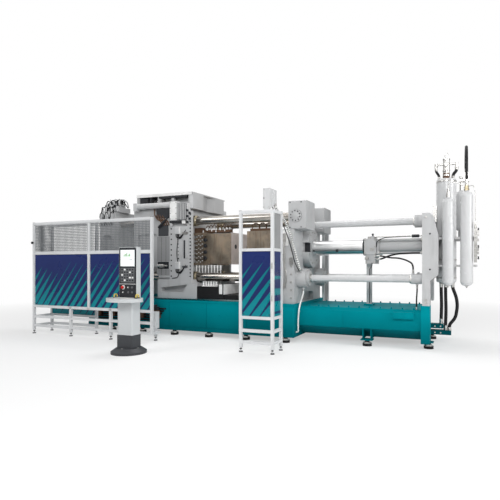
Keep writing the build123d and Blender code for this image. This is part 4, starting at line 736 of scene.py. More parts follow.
class DIECAST_OT_fixed_side(bpy.types.Operator):
    """Bolt rings and covers of the fixed platen and its lock housings"""
    bl_idname = "diecast.fixed_side"
    bl_label = "Fixed platen fittings"

    def execute(self, context):
        size = context.scene.plant_sizes.bolt_across / 2
        can_z, box_z = BAR_ROWS
        cover_z = box_z - 0.020
        covers, seams, collars, places, dark, small = [], [], [], [], [], []
        for side in SIDES:
            y = side * BAR_HALF
            out = (0, side, 0)
            dark += ring_places((0.300, side * 0.923, cover_z), out, 0.098, 10, 0.39)
            dark += [(at(x, side * 0.905, z), out) for x in (0.185, 0.415) for z in (2.26, 2.75)]
            seams.append(((0.300, side * 0.905, cover_z), out, disc(0.129, 0.002)))
            covers.append(((0.300, side * 0.923, cover_z), out, cap(0.068, 0.014, 0.018, 0.060)))
            small += ring_places((0.470, y, can_z), RIGHT, 0.171, 12)
            small += ring_places((0.520, y, can_z), RIGHT, 0.112, 8)
            collars += [((0.520, y, can_z), RIGHT, cap(0.084, 0.030, 0.036, 0.076)),
                        ((2.425, y, can_z), RIGHT, [(0, 0.074), (0.006, 0.080), (0.028, 0.080)])]
            places += row_places((0.205, side * CHEEK_Y, 0.86), (0.205, side * CHEEK_Y, 2.12), 9, out)
        collars += [((0.265, 0, ROD_Z), RIGHT, cap(0.105, 0.045, 0.055, 0.092)),
                    ((2.434, 0, ROD_Z), RIGHT, [(0, 0.080), (0.006, 0.092), (0.028, 0.092)])]
        # The hub's ring leaves out the bolts that its slot would cut
        hub = [(p, d) for p, d in ring_places((0.390, 0, SHOT_Z), RIGHT, 0.330, 14)
               if p.y >= ZERO_Y or abs(p.z - SHOT_Z) >= 0.13]
        bolts("fixed_side_bolts", places + hub, size)
        bolts("can_bolts", small, size * 0.72, 0.010)
        bolts("lock_bolts", dark, 0.0095, 0.008, finish="black_paint")
        spun("lock_covers", covers, "grey_paint")
        spun("lock_seams", seams, "dark_plastic", sides=40)
        spun("rod_collars", collars, "bare_steel")
        # White sheet on the platen's operator side as a painted highlight, a dark sheet in the hub's slot
        # as painted shade, and fittings
        plates([("platen_sheet", "white_plastic", 0.001, (0.004, 0.146, -0.899, -0.895, 1.900, 2.205))])
        ring = [(0, 0.150), (0, 0.207), (0.014, 0.207), (0.014, 0.150)]
        spun("hub_ring", [((0.378, 0, SHOT_Z), RIGHT, ring)], "grey_paint", sides=48, closed=True)
        plates([
            ("slot_lining", "dark_plastic", 0.001, (0.270, 0.386, -0.222, -0.214, 1.790, 1.980)),
            ("lube_blocks", "bare_steel", 0.004, (0.02, 0.10, -0.925, -0.895, 1.98, 2.14),
             (0.03, 0.09, -0.925, -0.895, 1.05, 1.15), (0.175, 0.245, -0.932, -0.895, 1.52, 1.66)),
        ])
        pipes("lube_pipes", [
            [(0.04 + 0.02 * i, -0.912, 1.98), (0.04 + 0.02 * i, -0.912, 1.60 - 0.05 * i),
             (0.07 + 0.02 * i, -0.908, 1.45 - 0.05 * i), (0.07 + 0.02 * i, -0.908, 1.152)]
            for i in range(3)], 0.006, "bare_steel")
        return {"FINISHED"}


class DIECAST_OT_bases(bpy.types.Operator):
    """Screws, studs and nuts of the two bases, and the oil lines and valves beside them"""
    bl_idname = "diecast.bases"
    bl_label = "Base fittings"

    def execute(self, context):
        rows, studs = [], []
        nuts = [(at(x, side * y, FOOT_NUT_Z), UP) for x, y, side in FOOT_PLACES]
        for side in SIDES:
            y = side * BASE_Y
            for z in (0.733, 0.135):
                rows += row_places((-4.85, y, z), (0.24, y, z), 26, (0, side, 0))
            studs += row_places((0.50, side * 0.655, 0.700), (2.50, side * 0.655, 0.700), 11, UP)
        covers = face_places((0.04, 0.24), -0.998, (0.235, 0.585))
        covers += face_places((2.17, 2.33, 2.49), -0.850, (0.56, 0.64))
        rivets = row_places((0.36, -0.790, 0.350), (2.56, -0.790, 0.350), 18, FRONT)
        bolts("base_screws", rows, 0.008, 0.007, finish="teal_paint")
        bolts("cover_screws", covers, 0.010, 0.008, finish="teal_paint")
        bolts("tank_studs", studs, 0.014, 0.028, finish="teal_paint")
        boxes("support_shoe", [(1.485, 1.667, -0.132, 0.132, 0.700, 0.732)], "teal_paint", bevel=0.002)
        bolts("tank_rivets", rivets, 0.006, 0.005, finish="teal_paint")
        bolts("foot_nuts", nuts, 0.062, 0.018)
        # Oil lines and valves along the base behind the guard, on both sides
        lines, units, coils = [], [], []
        for side in SIDES:
            for i in range(6):
                z = 0.30 + 0.055 * i
                first, last = -4.80 + 0.10 * i, -2.95 + 0.05 * i
                lines.append([(first, side * 1.012, z), (first, side * 1.050, z),
                              (-4.60 + 0.08 * i, side * 1.075, z - 0.03),
                              (-3.70 + 0.06 * i, side * 1.070, z + 0.02),
                              (last, side * 1.050, z - 0.02), (last, side * 1.012, z - 0.02)])
            for i in range(5):
                x = -4.62 + 0.41 * i
                units.append((x, x + 0.16, *sorted((side * 1.010, side * 1.130)), 0.340, 0.520))
                near, far = sorted((side * 1.035, side * 1.105))
                coils += [(x + 0.030, x + 0.080, near, far, 0.520, 0.640),
                          (x + 0.095, x + 0.140, near, far, 0.520, 0.600)]
        pipes("base_lines", lines, 0.016, "hose_rubber")
        boxes("base_valves", units, "brown_rust", bevel=0.006)
        boxes("base_coils", coils, "dark_plastic", bevel=0.005)
        spun("base_plugs", [((x, -1.010, 0.45), FRONT, cap(0.020, 0.010, 0.012, 0.014))
                            for x in (-3.2, -2.3, -1.35, -0.4)], "teal_paint")
        return {"FINISHED"}


class DIECAST_OT_moving_side(bpy.types.Operator):
    """Boxes, bolts, pipes and cables that travel with the moving platen"""
    bl_idname = "diecast.moving_side"
    bl_label = "Moving platen fittings"

    def execute(self, context):
        size = context.scene.plant_sizes.bolt_across / 2
        body = "platen"
        side_y = BOX["platen_rear_body"][0].y - ZERO_Y
        column, rings = [], []
        for side in SIDES:
            y = side * CHEEK_Y
            for x, low, high, count in ((-2.135, 1.27, 2.62, 19), (-2.63, 1.27, 2.32, 10),
                                        (-2.44, 1.66, 1.98, 5)):
                column += row_places((x, y, low), (x, y, high), count, (0, side, 0))
        for z in BAR_ROWS:
            for side in SIDES:
                rings += ring_places((-2.117, side * BAR_HALF, z), RIGHT, 0.104, 10)
        bolts("cheek_bolts", column, size * 0.8, finish="black_paint", body=body)
        bolts("bush_bolts", rings, 0.0075, 0.008, body=body)
        plates([
            ("terminal_boxes", "white_plastic", 0.006, (-2.505, -2.390, -0.945, -0.895, 2.200, 2.356),
             (-2.505, -2.390, -0.945, -0.895, 1.430, 1.585),
             (-2.330, -2.250, -0.935, -0.895, 2.420, 2.490)),
            ("box_lids", "light_grey_paint", 0.003, (-2.498, -2.397, -0.952, -0.943, 2.207, 2.349),
             (-2.498, -2.397, -0.952, -0.943, 1.437, 1.578)),
            ("position_scale", "dark_plastic", 0.003, (-2.300, -2.268, -0.912, -0.895, 1.66, 2.06)),
            ("cheek_brackets", "grey_paint", 0.004, (-2.66, -2.60, -0.925, -0.850, 2.37, 2.45),
             (-2.23, -2.20, -0.93, -0.895, 1.66, 1.74), (-2.56, -2.33, -0.905, -0.895, 1.72, 2.08)),
        ], body)
        pipes("platen_cables", [
            [(-2.445, -0.915, 2.20), (-2.445, -0.915, 2.02), (-2.470, -0.915, 1.88),
             (-2.470, -0.915, 1.70), (-2.445, -0.915, 1.585)],
            [(-2.420, -0.915, 1.43), (-2.420, -0.915, 1.31), (-2.460, -0.912, 1.24),
             (-2.600, -0.912, 1.22)],
        ], 0.009, "hose_rubber", body)
        loops = []
        for z in (2.200, 1.430):
            for i in range(4):
                x = -2.490 + 0.025 * i
                loops.append([(x, -0.925, z), (x, -0.925, z - 0.06 - 0.012 * i),
                              (x + 0.05, -0.920, z - 0.10), (x + 0.13, -0.910, z - 0.04 + 0.02 * i),
                              (x + 0.17, -0.905, z + 0.03 * i)])
        pipes("cable_loops", loops, 0.0065, "hose_rubber", body)
        boxes("cable_blocks", [(-2.335 + 0.03 * i, -2.310 + 0.03 * i, -0.920, -0.895, z, z + 0.05)
                               for i in range(5) for z in (2.19, 1.455)], "bare_steel", body, 0.003)
        valves = [(-2.215 + 0.055 * (i % 2), -2.175 + 0.055 * (i % 2), -0.935, -0.895, z, z + 0.045)
                  for i, z in enumerate((2.43, 2.50, 2.56, 2.63, 2.69))]
        boxes("edge_valves", valves, "dark_plastic", body, 0.005)
        # Sheets and ribs on the two blocks, the dark beam under them and the cover beside it
        plates([
            ("block_sheet", "white_plastic", 0.001, (-2.670, -2.492, -0.899, -0.895, 2.512, 2.922)),
            ("rib_ground", "dark_plastic", 0.001, (-2.482, -2.233, -0.897, -0.894, 2.512, 2.872)),
            ("block_ribs", "grey_paint", 0.002,
             *shifted((-2.478, -2.453, -0.909, -0.896, 2.520, 2.865), 6, 0.041)),
        ], body)
        # A dark sheet on the housing's side: painted shade in the recess between the hoses and the cheek
        plates([("side_recess", "dark_plastic", 0.001, (-3.080, -2.700, -0.006, 0, 2.570, 2.800))],
               body, y=side_y)
        plates([("block_beam", "dark_plastic", 0.006, (-2.660, -2.330, -0.930, -0.860, 2.440, 2.500))],
               body)
        # The darker sheets on the cheek's side are painted shade of its recessed left part
        plates([
            ("side_sheet", "shade_grey", 0.001, (-3.060, -2.700, -0.003, 0, 1.600, 2.160),
             (-3.060, -2.700, -0.003, 0, 1.280, 1.420)),
            ("side_slot", "dark_plastic", 0.001, (-3.040, -2.740, -0.004, 0, 1.430, 1.590)),
        ], body, y=side_y)
        piston = [(0, 0.030), (0.05, 0.030), (0.055, 0.040), (0.19, 0.040), (0.195, 0.016),
                  (0.26, 0.016)]
        spun("side_piston", [((-3.020, side_y - 0.045, 1.500), RIGHT, piston)], "bare_steel", body)
        seam = 0.006
        plates([
            ("side_seams", "plinth_grey_paint", 0.0,
             *((x, x + seam, -0.0045, -0.002, 1.290, 2.150) for x in (-2.94, -2.82))),
            ("side_cover", "plinth_grey_paint", 0.004, (-3.020, -2.750, -0.012, 0, 2.170, 2.420)),
        ], body, y=side_y)
        strut = [(0, 0.015), (0.02, 0.026), (0.24, 0.026), (0.25, 0.014), (0.42, 0.014)]
        spun("slant_strut", [((-3.000, side_y - 0.040, 2.360), (0.34, -0.02, 0.27), strut)],
             "dark_plastic", body)
        pipes("side_hoses", [
            [(-3.16 + 0.075 * i, -0.79, 2.800), (-3.14 + 0.075 * i, -0.83, 2.68 - 0.02 * i),
             (-3.05 + 0.075 * i, side_y - 0.03, 2.56 - 0.01 * i), (-2.93 + 0.06 * i, side_y - 0.03, 2.50),
             (-2.90 + 0.06 * i, side_y - 0.02, 2.405)] for i in range(4)], 0.015, "brown_rust", body)
        # Black pipes under the roof, and the valve row on the rear housing
        pipes("roof_pipes", [
            [(-3.68, -0.70 + 0.05 * i, 3.085 - 0.012 * i), (-3.10, -0.70 + 0.05 * i, 3.085 - 0.012 * i),
             (-2.95, -0.70 + 0.05 * i, 3.05), (-2.76, -0.70 + 0.05 * i, 3.05)] for i in range(3)],
            0.017, "hose_rubber", body)
        # A white strip along the roof's edge is a painted highlight of its lit top; of the dark boxes under
        # the roof, two are units and the long one is painted shade in the gap below the roof
        plates([
            ("roof_edge", "white_plastic", 0.002, (-3.717, -2.200, -0.746, -0.738, 3.086, 3.152)),
            ("roof_units", "dark_plastic", 0.01, (-3.660, -3.420, -0.700, -0.500, 2.950, 3.095),
             (-3.100, -2.330, -0.735, -0.600, 3.035, 3.105),
             (-3.360, -3.300, -0.720, -0.600, 2.900, 3.090)),
        ], body)
        valves = []
        for i in range(5):
            x = -3.70 + 0.115 * i
            valves.append((x, x + 0.075, -0.66, -0.50, 2.820, 2.905 + 0.03 * (i % 2)))
        boxes("housing_valves", valves, "bare_steel", body, 0.006)
        spun("housing_plugs", [((-3.663 + 0.115 * i, -0.58, 2.905 + 0.03 * (i % 2)), UP,
                                cap(0.024, 0.055, 0.060, 0.018)) for i in range(5)],
             "dark_plastic", body)
        pipes("housing_hoses", [
            [(-3.663 + 0.115 * i, -0.62, 2.87), (-3.663 + 0.115 * i, -0.72, 2.87),
             (-3.62 + 0.115 * i, -0.72, 2.95 + 0.02 * i), (-3.50 + 0.115 * i, -0.60, 2.98 + 0.02 * i),
             (-3.45 + 0.115 * i, -0.45, 2.90)] for i in range(5)], 0.013, "hose_rubber", body)
        # Screws of the blocks and of the hood
        bolts("block_bolts", face_places((-2.655, -2.505), -CHEEK_Y, (2.54, 2.66, 2.78, 2.90)),
              0.012, 0.010, body=body)
        rivets = [place for z in (3.12, 2.81)
                  for place in row_places((-2.192, -0.66, z), (-2.192, -0.33, z), 7, RIGHT)]
        bolts("hood_rivets", rivets, 0.006, 0.004, finish="grey_paint", body=body)
        return {"FINISHED"}


class DIECAST_OT_die_fittings(bpy.types.Operator):
    """Cooling tubes under the die, manifolds and hoses over it, screws and clamps"""
    bl_idname = "diecast.die_fittings"
    bl_label = "Die fittings"

    def execute(self, context):
        body = "platen"
        tube = [(0, 0.026), (0.03, 0.026), (0.035, 0.018), (0.38, 0.018), (0.385, 0.024), (0.45, 0.024)]
        spun("cooling_tubes", [((-2.24 + 0.078 * i, -0.480, 1.066), UP, tube) for i in range(9)],
             "white_plastic", body, 12)
        plates([
            ("tube_bar", "white_plastic", 0.004, (-2.275, -1.585, -0.540, -0.420, 1.058, 1.090)),
            ("lamp_plate", "white_plastic", 0.003, (-1.425, -1.350, -0.889, -0.880, 0.90, 1.105)),
        ], body)
        z = DIE_TOP_Z
        boxes("die_manifolds", [(-2.03, -1.36, -0.505, -0.455, z, z + 0.055),
                                (-2.27, -1.42, -0.330, -0.270, z, z + 0.075),
                                (-2.28, -2.06, -0.500, -0.380, z, z + 0.110)], "brown_rust", body)
        nipples = [((-1.98 + 0.085 * i, -0.480, z + 0.055), UP,
                    stepped(0.016, 0.02, 0.022, 0.011, 0.05)) for i in range(8)]
        nipples += [((-2.05 + 0.055 * i, -0.500 + 0.030 * (i % 2), z + 0.002 + 0.02 * (i % 3)), UP,
                     stepped(0.014, 0.03, 0.032, 0.008, 0.055)) for i in range(12)]
        spun("die_nipples", nipples, "white_plastic", body, 10)
        plugs = [(at(-2.205 + 0.048 * i, DIE_Y, 1.585 + 0.094 * j + 0.03 * (i % 2)), FRONT)
                 for i in range(4) for j in range(7)]
        bolts("ejector_plugs", plugs, 0.009, 0.016, finish="white_plastic", body=body)
        hoses = []
        for i in range(8):
            x = 0.085 * i
            rise = 0.012 * (i % 3)
            hoses.append([(-1.98 + x, -0.480, z + 0.045), (-1.98 + x, -0.480, z + 0.125 + rise),
                          (-1.99 + x, -0.400, z + 0.165 + rise), (-2.00 + x, -0.330, z + 0.150),
                          (-2.00 + x, -0.300, z + 0.070)])
        pipes("die_hoses", hoses, 0.010, "brown_rust", body)
        clamp = [(0, 0.034), (0.020, 0.040), (0.050, 0.040), (0.056, 0.030)]
        spun("die_clamps", [((-1.965, DIE_Y, low), FRONT, clamp) for low in (1.675, 1.810, 1.945, 2.080)],
             "dark_plastic", body, 16)
        spun("front_comb", [((-1.825 + 0.062 * i, -0.850, 1.060), UP, disc(0.017, 0.105))
                            for i in range(6)], "white_plastic", body, 12)
        plates([
            ("comb_bar", "white_plastic", 0.002, (-1.860, -1.490, -0.875, -0.825, 1.0565, 1.068)),
            ("cavity_plate", "die_face", 0.0005, (-1.3345, -1.3318, -0.505, 0.505, 1.530, 2.232)),
        ], body)
        spun("cavity_ring", [((-1.3318, y, 1.925), RIGHT, disc(0.052, 0.0008))
                             for y in (-0.30, 0.30)], "dark_plastic", body)
        # A white sheet on the way cover's end: painted light, standing for the bright backdrop seen past
        # the cover there
        boxes("cover_end_light_sheet", [(-1.329, -1.325, -0.870, 0.870, 0.890, 1.105)],
              "white_plastic", body, 0.001)
        bolts("holder_bolts", face_places((-1.86, -1.42), DIE_Y, (1.60, 1.88, 2.16)), 0.020, 0.012,
              finish="die_steel", body=body)
        # Fixed half: the same kind of fittings, and clamps on the fixed platen
        boxes("fixed_die_manifold", [(-0.88, -0.18, -0.500, -0.445, z, z + 0.055)], "brown_rust")
        pipes("fixed_die_hoses", [
            [(-0.84 + 0.16 * i, -0.470, z + 0.05), (-0.84 + 0.16 * i, -0.470, z + 0.14),
             (-0.78 + 0.16 * i, -0.430, z + 0.18), (-0.70 + 0.16 * i, -0.400, z + 0.14),
             (-0.69 + 0.16 * i, -0.390, z - 0.004)] for i in range(4)], 0.010, "brown_rust")
        boxes("fixed_die_clamps", [(-0.125, -0.002, -0.600, -0.500, low, low + 0.07)
                                   for low in (1.60, 1.86, 2.10)], "bare_steel")
        bolts("fixed_holder_bolts", face_places((-0.80, -0.50, -0.22), DIE_Y, (1.58, 1.88, 2.18)),
              0.020, 0.012, finish="die_steel")
        return {"FINISHED"}


class DIECAST_OT_clamp_end(bpy.types.Operator):
    """Hoses, valves, motor fins, gauge and screws of the end platen"""
    bl_idname = "diecast.clamp_end"
    bl_label = "End platen fittings"

    def execute(self, context):
        caps = [((-4.360 + 0.065 * i, -0.710, 2.970 + 0.025 * (i % 2)), UP,
                 cap(0.020, 0.055, 0.062, 0.014)) for i in range(3)]
        spun("valve_caps", caps, "dark_plastic")
        pipes("valve_hoses", [
            [(-4.36 + 0.065 * i, -0.560, 2.955), (-4.36 + 0.065 * i, -0.560, 3.03 + 0.02 * i),
             (-4.42 + 0.065 * i, -0.500, 3.08 + 0.02 * i), (-4.50 + 0.04 * i, -0.440, 3.05 + 0.02 * i),
             (-4.52 + 0.04 * i, -0.400, 2.99)] for i in range(3)]
            + [[(-4.405, -0.78, 2.85), (-4.405, -0.85, 2.85), (-4.36, -0.88, 2.78), (-4.33, -0.905, 2.62),
                (-4.33, -0.905, 2.50)],
               [(-4.30, -0.80, 2.84), (-4.30, -0.86, 2.84), (-4.27, -0.90, 2.74), (-4.27, -0.905, 2.55)]],
            0.014, "hose_rubber")
        tangle = []
        for i in range(11):
            x = -4.55 + 0.040 * i
            sway = math.sin(2.3 * i)
            y = -0.80 + 0.030 * (i % 4)
            tangle.append([(x, y, 2.900), (x, y - 0.02, 3.00 + 0.015 * (i % 5)),
                           (x + 0.06 * sway, y + 0.03, 3.07 + 0.020 * (i % 4)),
                           (x + 0.12 * sway, y + 0.12, 3.03 + 0.022 * (i % 3)),
                           (min(x + 0.16 * sway, -4.12), y + 0.22, 2.90)])
        pipes("valve_tangle", tangle[::2], 0.011, "hose_rubber")
        pipes("thin_tangle", tangle[1::2], 0.013, "light_grey_paint")
        drops = []
        for i in range(9):
            x = -4.61 + 0.038 * i
            sway = math.sin(1.9 * i + 0.6)
            drops.append([(x, -0.84, 2.900), (x + 0.02 * sway, -0.915, 2.890),
                          (x + 0.07 * sway, -0.940, 2.800), (x - 0.05 * sway, -0.955, 2.680),
                          (x - 0.02 * sway, -0.930, 2.560), (x, -0.915, 2.460)])
        pipes("valve_drops", drops[::2], 0.014, "hose_rubber")
        pipes("steel_drops", drops[1::2], 0.013, "light_grey_paint")
        platen, small, coils = [], [], []
        for i in range(5):
            rise = 0.05 * (i % 2)
            platen.append((-4.64 + 0.082 * i, -4.58 + 0.082 * i, -0.960, -0.902, 2.60 + rise, 2.74 + rise))
            x = 0.088 * i
            rise = 0.035 * (i % 3)
            small.append((-4.58 + x, -4.53 + x, -0.86, -0.80, 2.790, 2.880 + rise))
            coils.append((-4.572 + x, -4.538 + x, -0.852, -0.808, 2.880 + rise, 2.955 + rise))
        boxes("platen_valves", platen, "grey_paint", bevel=0.006)
        boxes("small_valves", small, "light_grey_paint", bevel=0.005)
        boxes("valve_coils", coils, "dark_plastic", bevel=0.004)
        spun("motor_fins", [((-4.525, -0.400, 2.82 + 0.028 * i), UP, disc(0.102, 0.010))
                            for i in range(10)], "grey_paint")
        boxes("motor_box", [(-4.60, -4.45, -0.530, -0.490, 2.90, 3.00)], "dark_plastic")
        spun("pressure_gauge", [((-4.20, -0.79, 2.94), FRONT, cap(0.040, 0.022, 0.026, 0.034))],
             "bare_steel")
        places = []
        for side in SIDES:
            for z in BAR_ROWS:
                places += ring_places((-4.840, side * BAR_HALF, z), LEFT, 0.115, 8)
        bolts("bar_nut_screws", places, 0.012, 0.008)
        bolts("end_cap_bolts", ring_places((-5.130, 0, BAR_AXIS_Z), LEFT, 0.145, 8), 0.014)
        return {"FINISHED"}


class DIECAST_OT_shot_unit(bpy.types.Operator):
    """Flange nuts, valves, rods and cables of the shot unit"""
    bl_idname = "diecast.shot_unit"
    bl_label = "Shot unit fittings"

    def execute(self, context):
        size = context.scene.plant_sizes.bolt_across / 2
        rod = 0.127
        nuts = [(at(x, y, z), axis) for y in (-rod, rod) for z in (SHOT_Z - rod, SHOT_Z + rod)
                for x, axis in ((1.794, RIGHT), (2.608, LEFT))]
        bolts("cylinder_nuts", nuts, 0.034, 0.026)
        bolts("gland_bolts", ring_places((0.460, 0, SHOT_Z), RIGHT, 0.155, 12), 0.009, 0.010)
        block = face_places((1.535, 1.725), -0.240, (1.75, 1.88, 2.015))
        block += face_places((1.56, 1.71), -0.220, (1.57, 1.69))
        bolts("valve_block_bolts", block, 0.012, 0.011)
        ring = [(0, 0.173), (0.006, 0.175), (0.039, 0.175), (0.045, 0.173)]
        spun("end_ring", [((1.466, 0, SHOT_Z), RIGHT, ring)], "dark_plastic", sides=40)
        boxes("valve_parts", [(1.53, 1.60, -0.262, -0.220, 1.62, 1.67),
                              (1.63, 1.71, -0.262, -0.240, 1.80, 1.85),
                              (1.56, 1.72, -0.10, 0.06, 2.040, 2.090)], "bare_steel")
        spun("block_knob", [((1.676, -0.180, 2.090), UP, stepped(0.016, 0.030, 0.032, 0.022, 0.050))],
             "dark_plastic")
        pipes("measuring_rod", [[(0.42, -0.180, 1.812), (1.466, -0.180, 1.812)]], 0.008, "dark_plastic")
        boxes("rod_brackets", [(0.92, 0.965, -0.198, -0.128, 1.785, 1.835),
                               (0.43, 0.46, -0.192, -0.128, 1.798, 1.826)], "dark_plastic", bevel=0.003)
        head = [(0, 0.026), (0.008, 0.030), (0.13, 0.030), (0.14, 0.024)]
        spun("sensor_head", [((2.42, -0.180, SHOT_Z + 0.190), RIGHT, head)], "dark_plastic")
        spun("shot_hose_ends", [((1.734, -0.150, 1.635), RIGHT, ferrule(0.019, 0.090)),
                                ((1.734, -0.205, 1.695), RIGHT, ferrule(0.017, 0.085)),
                                ((2.653, -0.185, 1.745), LEFT, ferrule(0.019, 0.080)),
                                ((2.483, -0.625, 1.364), UP, ferrule(0.017, 0.070)),
                                ((2.553, -0.625, 1.146), DOWN, ferrule(0.015, 0.060)),
                                ((2.543, -0.625, 0.700), UP, ferrule(0.015, 0.050))],
             "bare_steel", sides=16)
        pipes("sensor_cables", [
            [(2.42, -0.180, SHOT_Z + 0.190), (2.30, -0.20, SHOT_Z + 0.186), (1.90, -0.215, SHOT_Z + 0.170),
             (1.76, -0.225, SHOT_Z + 0.10), (1.748, -0.235, SHOT_Z - 0.02)],
            [(1.675, -0.262, 1.56), (1.675, -0.262, 1.50), (1.62, -0.20, 1.44), (1.596, -0.078, 1.40),
             (1.596, -0.078, 0.75)]], 0.008, "hose_rubber")
        plugs = [(at(2.785, side * 0.840, z), (0, side, 0)) for side in SIDES for z in (2.065, 1.435)]
        bolts("frame_plugs", plugs, 0.012, 0.006, 16, "dark_plastic")
        corners = [(at(2.715, side * 0.840, z), (0, side, 0)) for side in SIDES for z in (0.84, 0.90, 2.36)]
        bolts("frame_bolts", corners, size)
        return {"FINISHED"}


# Crimped ends of the accumulator hoses: place, direction, hose radius and length
HOSE_ENDS = (
    ((2.948, -0.09, 1.190), DOWN, (0.030, 0.095)),
    ((3.026, -0.09, 1.190), DOWN, (0.030, 0.095)),
    ((3.149, -0.09, 1.190), DOWN, (0.030, 0.095)),
    ((2.948, -0.09, 0.400), UP, (0.030, 0.095)),
    ((3.026, -0.09, 0.282), UP, (0.030, 0.095)),
    ((3.092, -0.09, 0.282), UP, (0.030, 0.060)),
    ((2.857, -0.09, 3.360), DOWN, (0.0225, 0.055)),
    ((3.219, -0.09, 3.360), DOWN, (0.028, 0.055)),
    ((2.909, -0.09, 3.136), UP, (0.0225, 0.050)),
    ((3.156, -0.09, 3.136), UP, (0.028, 0.050)),
    ((BOTTLES_X[1], BOTTLE_Y, 2.950), UP, (0.025, 0.085)),
    ((BOTTLES_X[1], 0.210, 3.286), UP, (0.025, 0.085)),
)


class DIECAST_OT_accumulators(bpy.types.Operator):
    """Bands, fittings, gauges, valves and hose ends of the accumulators"""
    bl_idname = "diecast.accumulators"
    bl_label = "Accumulator fittings"

    def execute(self, context):
        left, right = BOTTLES_X
        band = [(0, 0.1795), (0.004, 0.181), (0.026, 0.181), (0.030, 0.1795)]
        spun("accumulator_bands", [((*ACCUMULATOR, z), UP, band) for z in (1.262, 1.60, 2.02, 3.070)],
             "bare_steel", sides=36)
        tip = [(0, 0.022), (0.020, 0.020), (0.024, 0.010), (0.040, 0.010)]
        spun("bottle_tips", [((x, BOTTLE_Y, 1.145), DOWN, tip) for x in BOTTLES_X], "bare_steel", sides=14)
        valves = [(3.550, 3.580, -0.545, -0.500, z, z + 0.050) for z in (1.70, 1.76, 1.93, 2.02, 2.08)]
        valves += [(3.505, 3.545, -0.580, -0.550, z, z + 0.035) for z in (1.68, 1.86, 1.99, 2.18)]
        boxes("rail_valves", valves, "bare_steel", bevel=0.004)
        spun("head_seat", [((*ACCUMULATOR, 3.136), UP, stepped(0.085, 0.020, 0.024, 0.062, 0.110))],
             "brown_rust")
        spun("head_rings", [((*ACCUMULATOR, z), UP, disc(radius, 0.020))
                            for z, radius in ((3.255, 0.060), (3.290, 0.068), (3.505, 0.066))],
             "bare_steel")
        fitting = [(0, 0.044), (0.030, 0.044), (0.034, 0.036), (0.085, 0.036), (0.088, 0.030),
                   (0.110, 0.030)]
        spun("charging_fitting", [((right, BOTTLE_Y, 2.840), UP, fitting)], "bronze", sides=6)
        fitting = [(0, 0.040), (0.030, 0.040), (0.034, 0.031), (0.110, 0.031), (0.116, 0.020),
                   (0.150, 0.020)]
        spun("left_fitting", [((left, BOTTLE_Y, 2.740), UP, fitting)], "bare_steel", sides=12)
        gauges = ((3.038, -0.155, 3.41, 0.046), (3.300, 0.128, 3.20, 0.040))
        spun("gauges", [((x, y, z), FRONT, cap(radius, 0.022, 0.026, radius - 0.006))
                        for x, y, z, radius in gauges], "bare_steel")
        spun("gauge_faces", [((x, y - 0.026, z), FRONT, disc(radius - 0.009, 0.002))
                             for x, y, z, radius in gauges], "white_plastic")
        spun("hose_ends", [(place, axis, ferrule(*size)) for place, axis, size in HOSE_ENDS],
             "bare_steel", sides=18)
        pipes("charging_line", [
            [(3.525, -0.515, 2.27), (3.525, -0.515, 2.80), (3.500, -0.510, 2.915), (3.455, -0.500, 2.925),
             (3.400, -0.492, 2.905)],
            [(x, BOTTLE_Y, z) for x, z in ((left, 2.885), (left, 2.98), (3.120, 3.01), (3.250, 2.99),
                                           (3.345, 2.90))]], 0.0065, "bare_steel")
        knob = [(0, 0.020), (0.006, 0.028), (0.018, 0.028), (0.022, 0.022)]
        spun("rail_knobs", [((3.560, -0.520, z), RIGHT, knob) for z in (1.64, 1.84, 2.14)], "dark_plastic")
        bolts("rail_screws", row_places((3.525, -0.550, 1.60), (3.525, -0.550, 2.23), 6, FRONT),
              0.008, 0.008)
        bolts("manifold_screws", face_places((2.74, 2.84, 2.94), -0.180, (0.36, 0.24)), 0.010, 0.009)
        bolts("rack_bolts", [(at(x, BOTTLE_Y, z + 0.02), FRONT) for z in (1.48, 1.98)
                             for x in (2.86, 3.23, 3.52)], 0.010, 0.010)
        return {"FINISHED"}


# Centre line of the conduit, from the junction box to the lower lock housing
CONDUIT_ROUTE = ((0.280, -1.930, 2.596), (0.280, -1.8798, 2.506), (0.290, -1.500, 2.361),
                 (0.302, -1.250, 2.139), (0.317, -1.080, 1.900), (0.3675, -0.937, 1.536),
                 (0.3675, -0.7885, 1.4022))


class DIECAST_OT_conduit(bpy.types.Operator):
    """Ribs, glands and lead of the conduit, and the fittings of the junction box"""
    bl_idname = "diecast.conduit"
    bl_label = "Conduit and junction box"

    def execute(self, context):
        ribs("conduit_ribs", [CONDUIT_ROUTE], 0.0240, 0.046, 0.013, "dark_plastic")
        down = Vector(CONDUIT_ROUTE[1]) - Vector(CONDUIT_ROUTE[0])
        back = Vector(CONDUIT_ROUTE[-2]) - Vector(CONDUIT_ROUTE[-1])
        spun("conduit_glands", [(CONDUIT_ROUTE[0], down, ferrule(0.026, 0.055)),
                                (CONDUIT_ROUTE[-1], back, ferrule(0.026, 0.060)),
                                ((0.3675, -0.625, 1.035), DOWN, ferrule(0.018, 0.045)),
                                ((0.300, -0.880, 0.200), RIGHT, ferrule(0.018, 0.025))],
             "bare_steel", sides=18)
        pipes("box_lead", [[(0.245, -1.960, 2.575), (0.245, -1.915, 2.49), (0.262, -1.560, 2.330),
                            (0.272, -1.290, 2.080), (0.285, -1.120, 1.860), (0.3150, -0.985, 1.560),
                            (0.335, -0.850, 1.430), (0.345, -0.800, 1.395)]], 0.009, "hose_rubber")
        boxes("box_door", [(0.184, 0.299, -2.207, -2.198, 2.487, 2.811)], "light_grey_paint", bevel=0.003)
        boxes("box_gasket", [(0.305, 0.3075, -2.190, -1.910, 2.640, 2.808)],
              "light_grey_paint", bevel=0.001)
        bolts("box_screws", face_places((0.196, 0.287), -2.207, (2.50, 2.80)), 0.006, 0.004)
        spun("box_lock", [((0.196, -2.207, 2.65), FRONT, cap(0.010, 0.006, 0.008, 0.007))],
             "dark_plastic", sides=14)
        return {"FINISHED"}


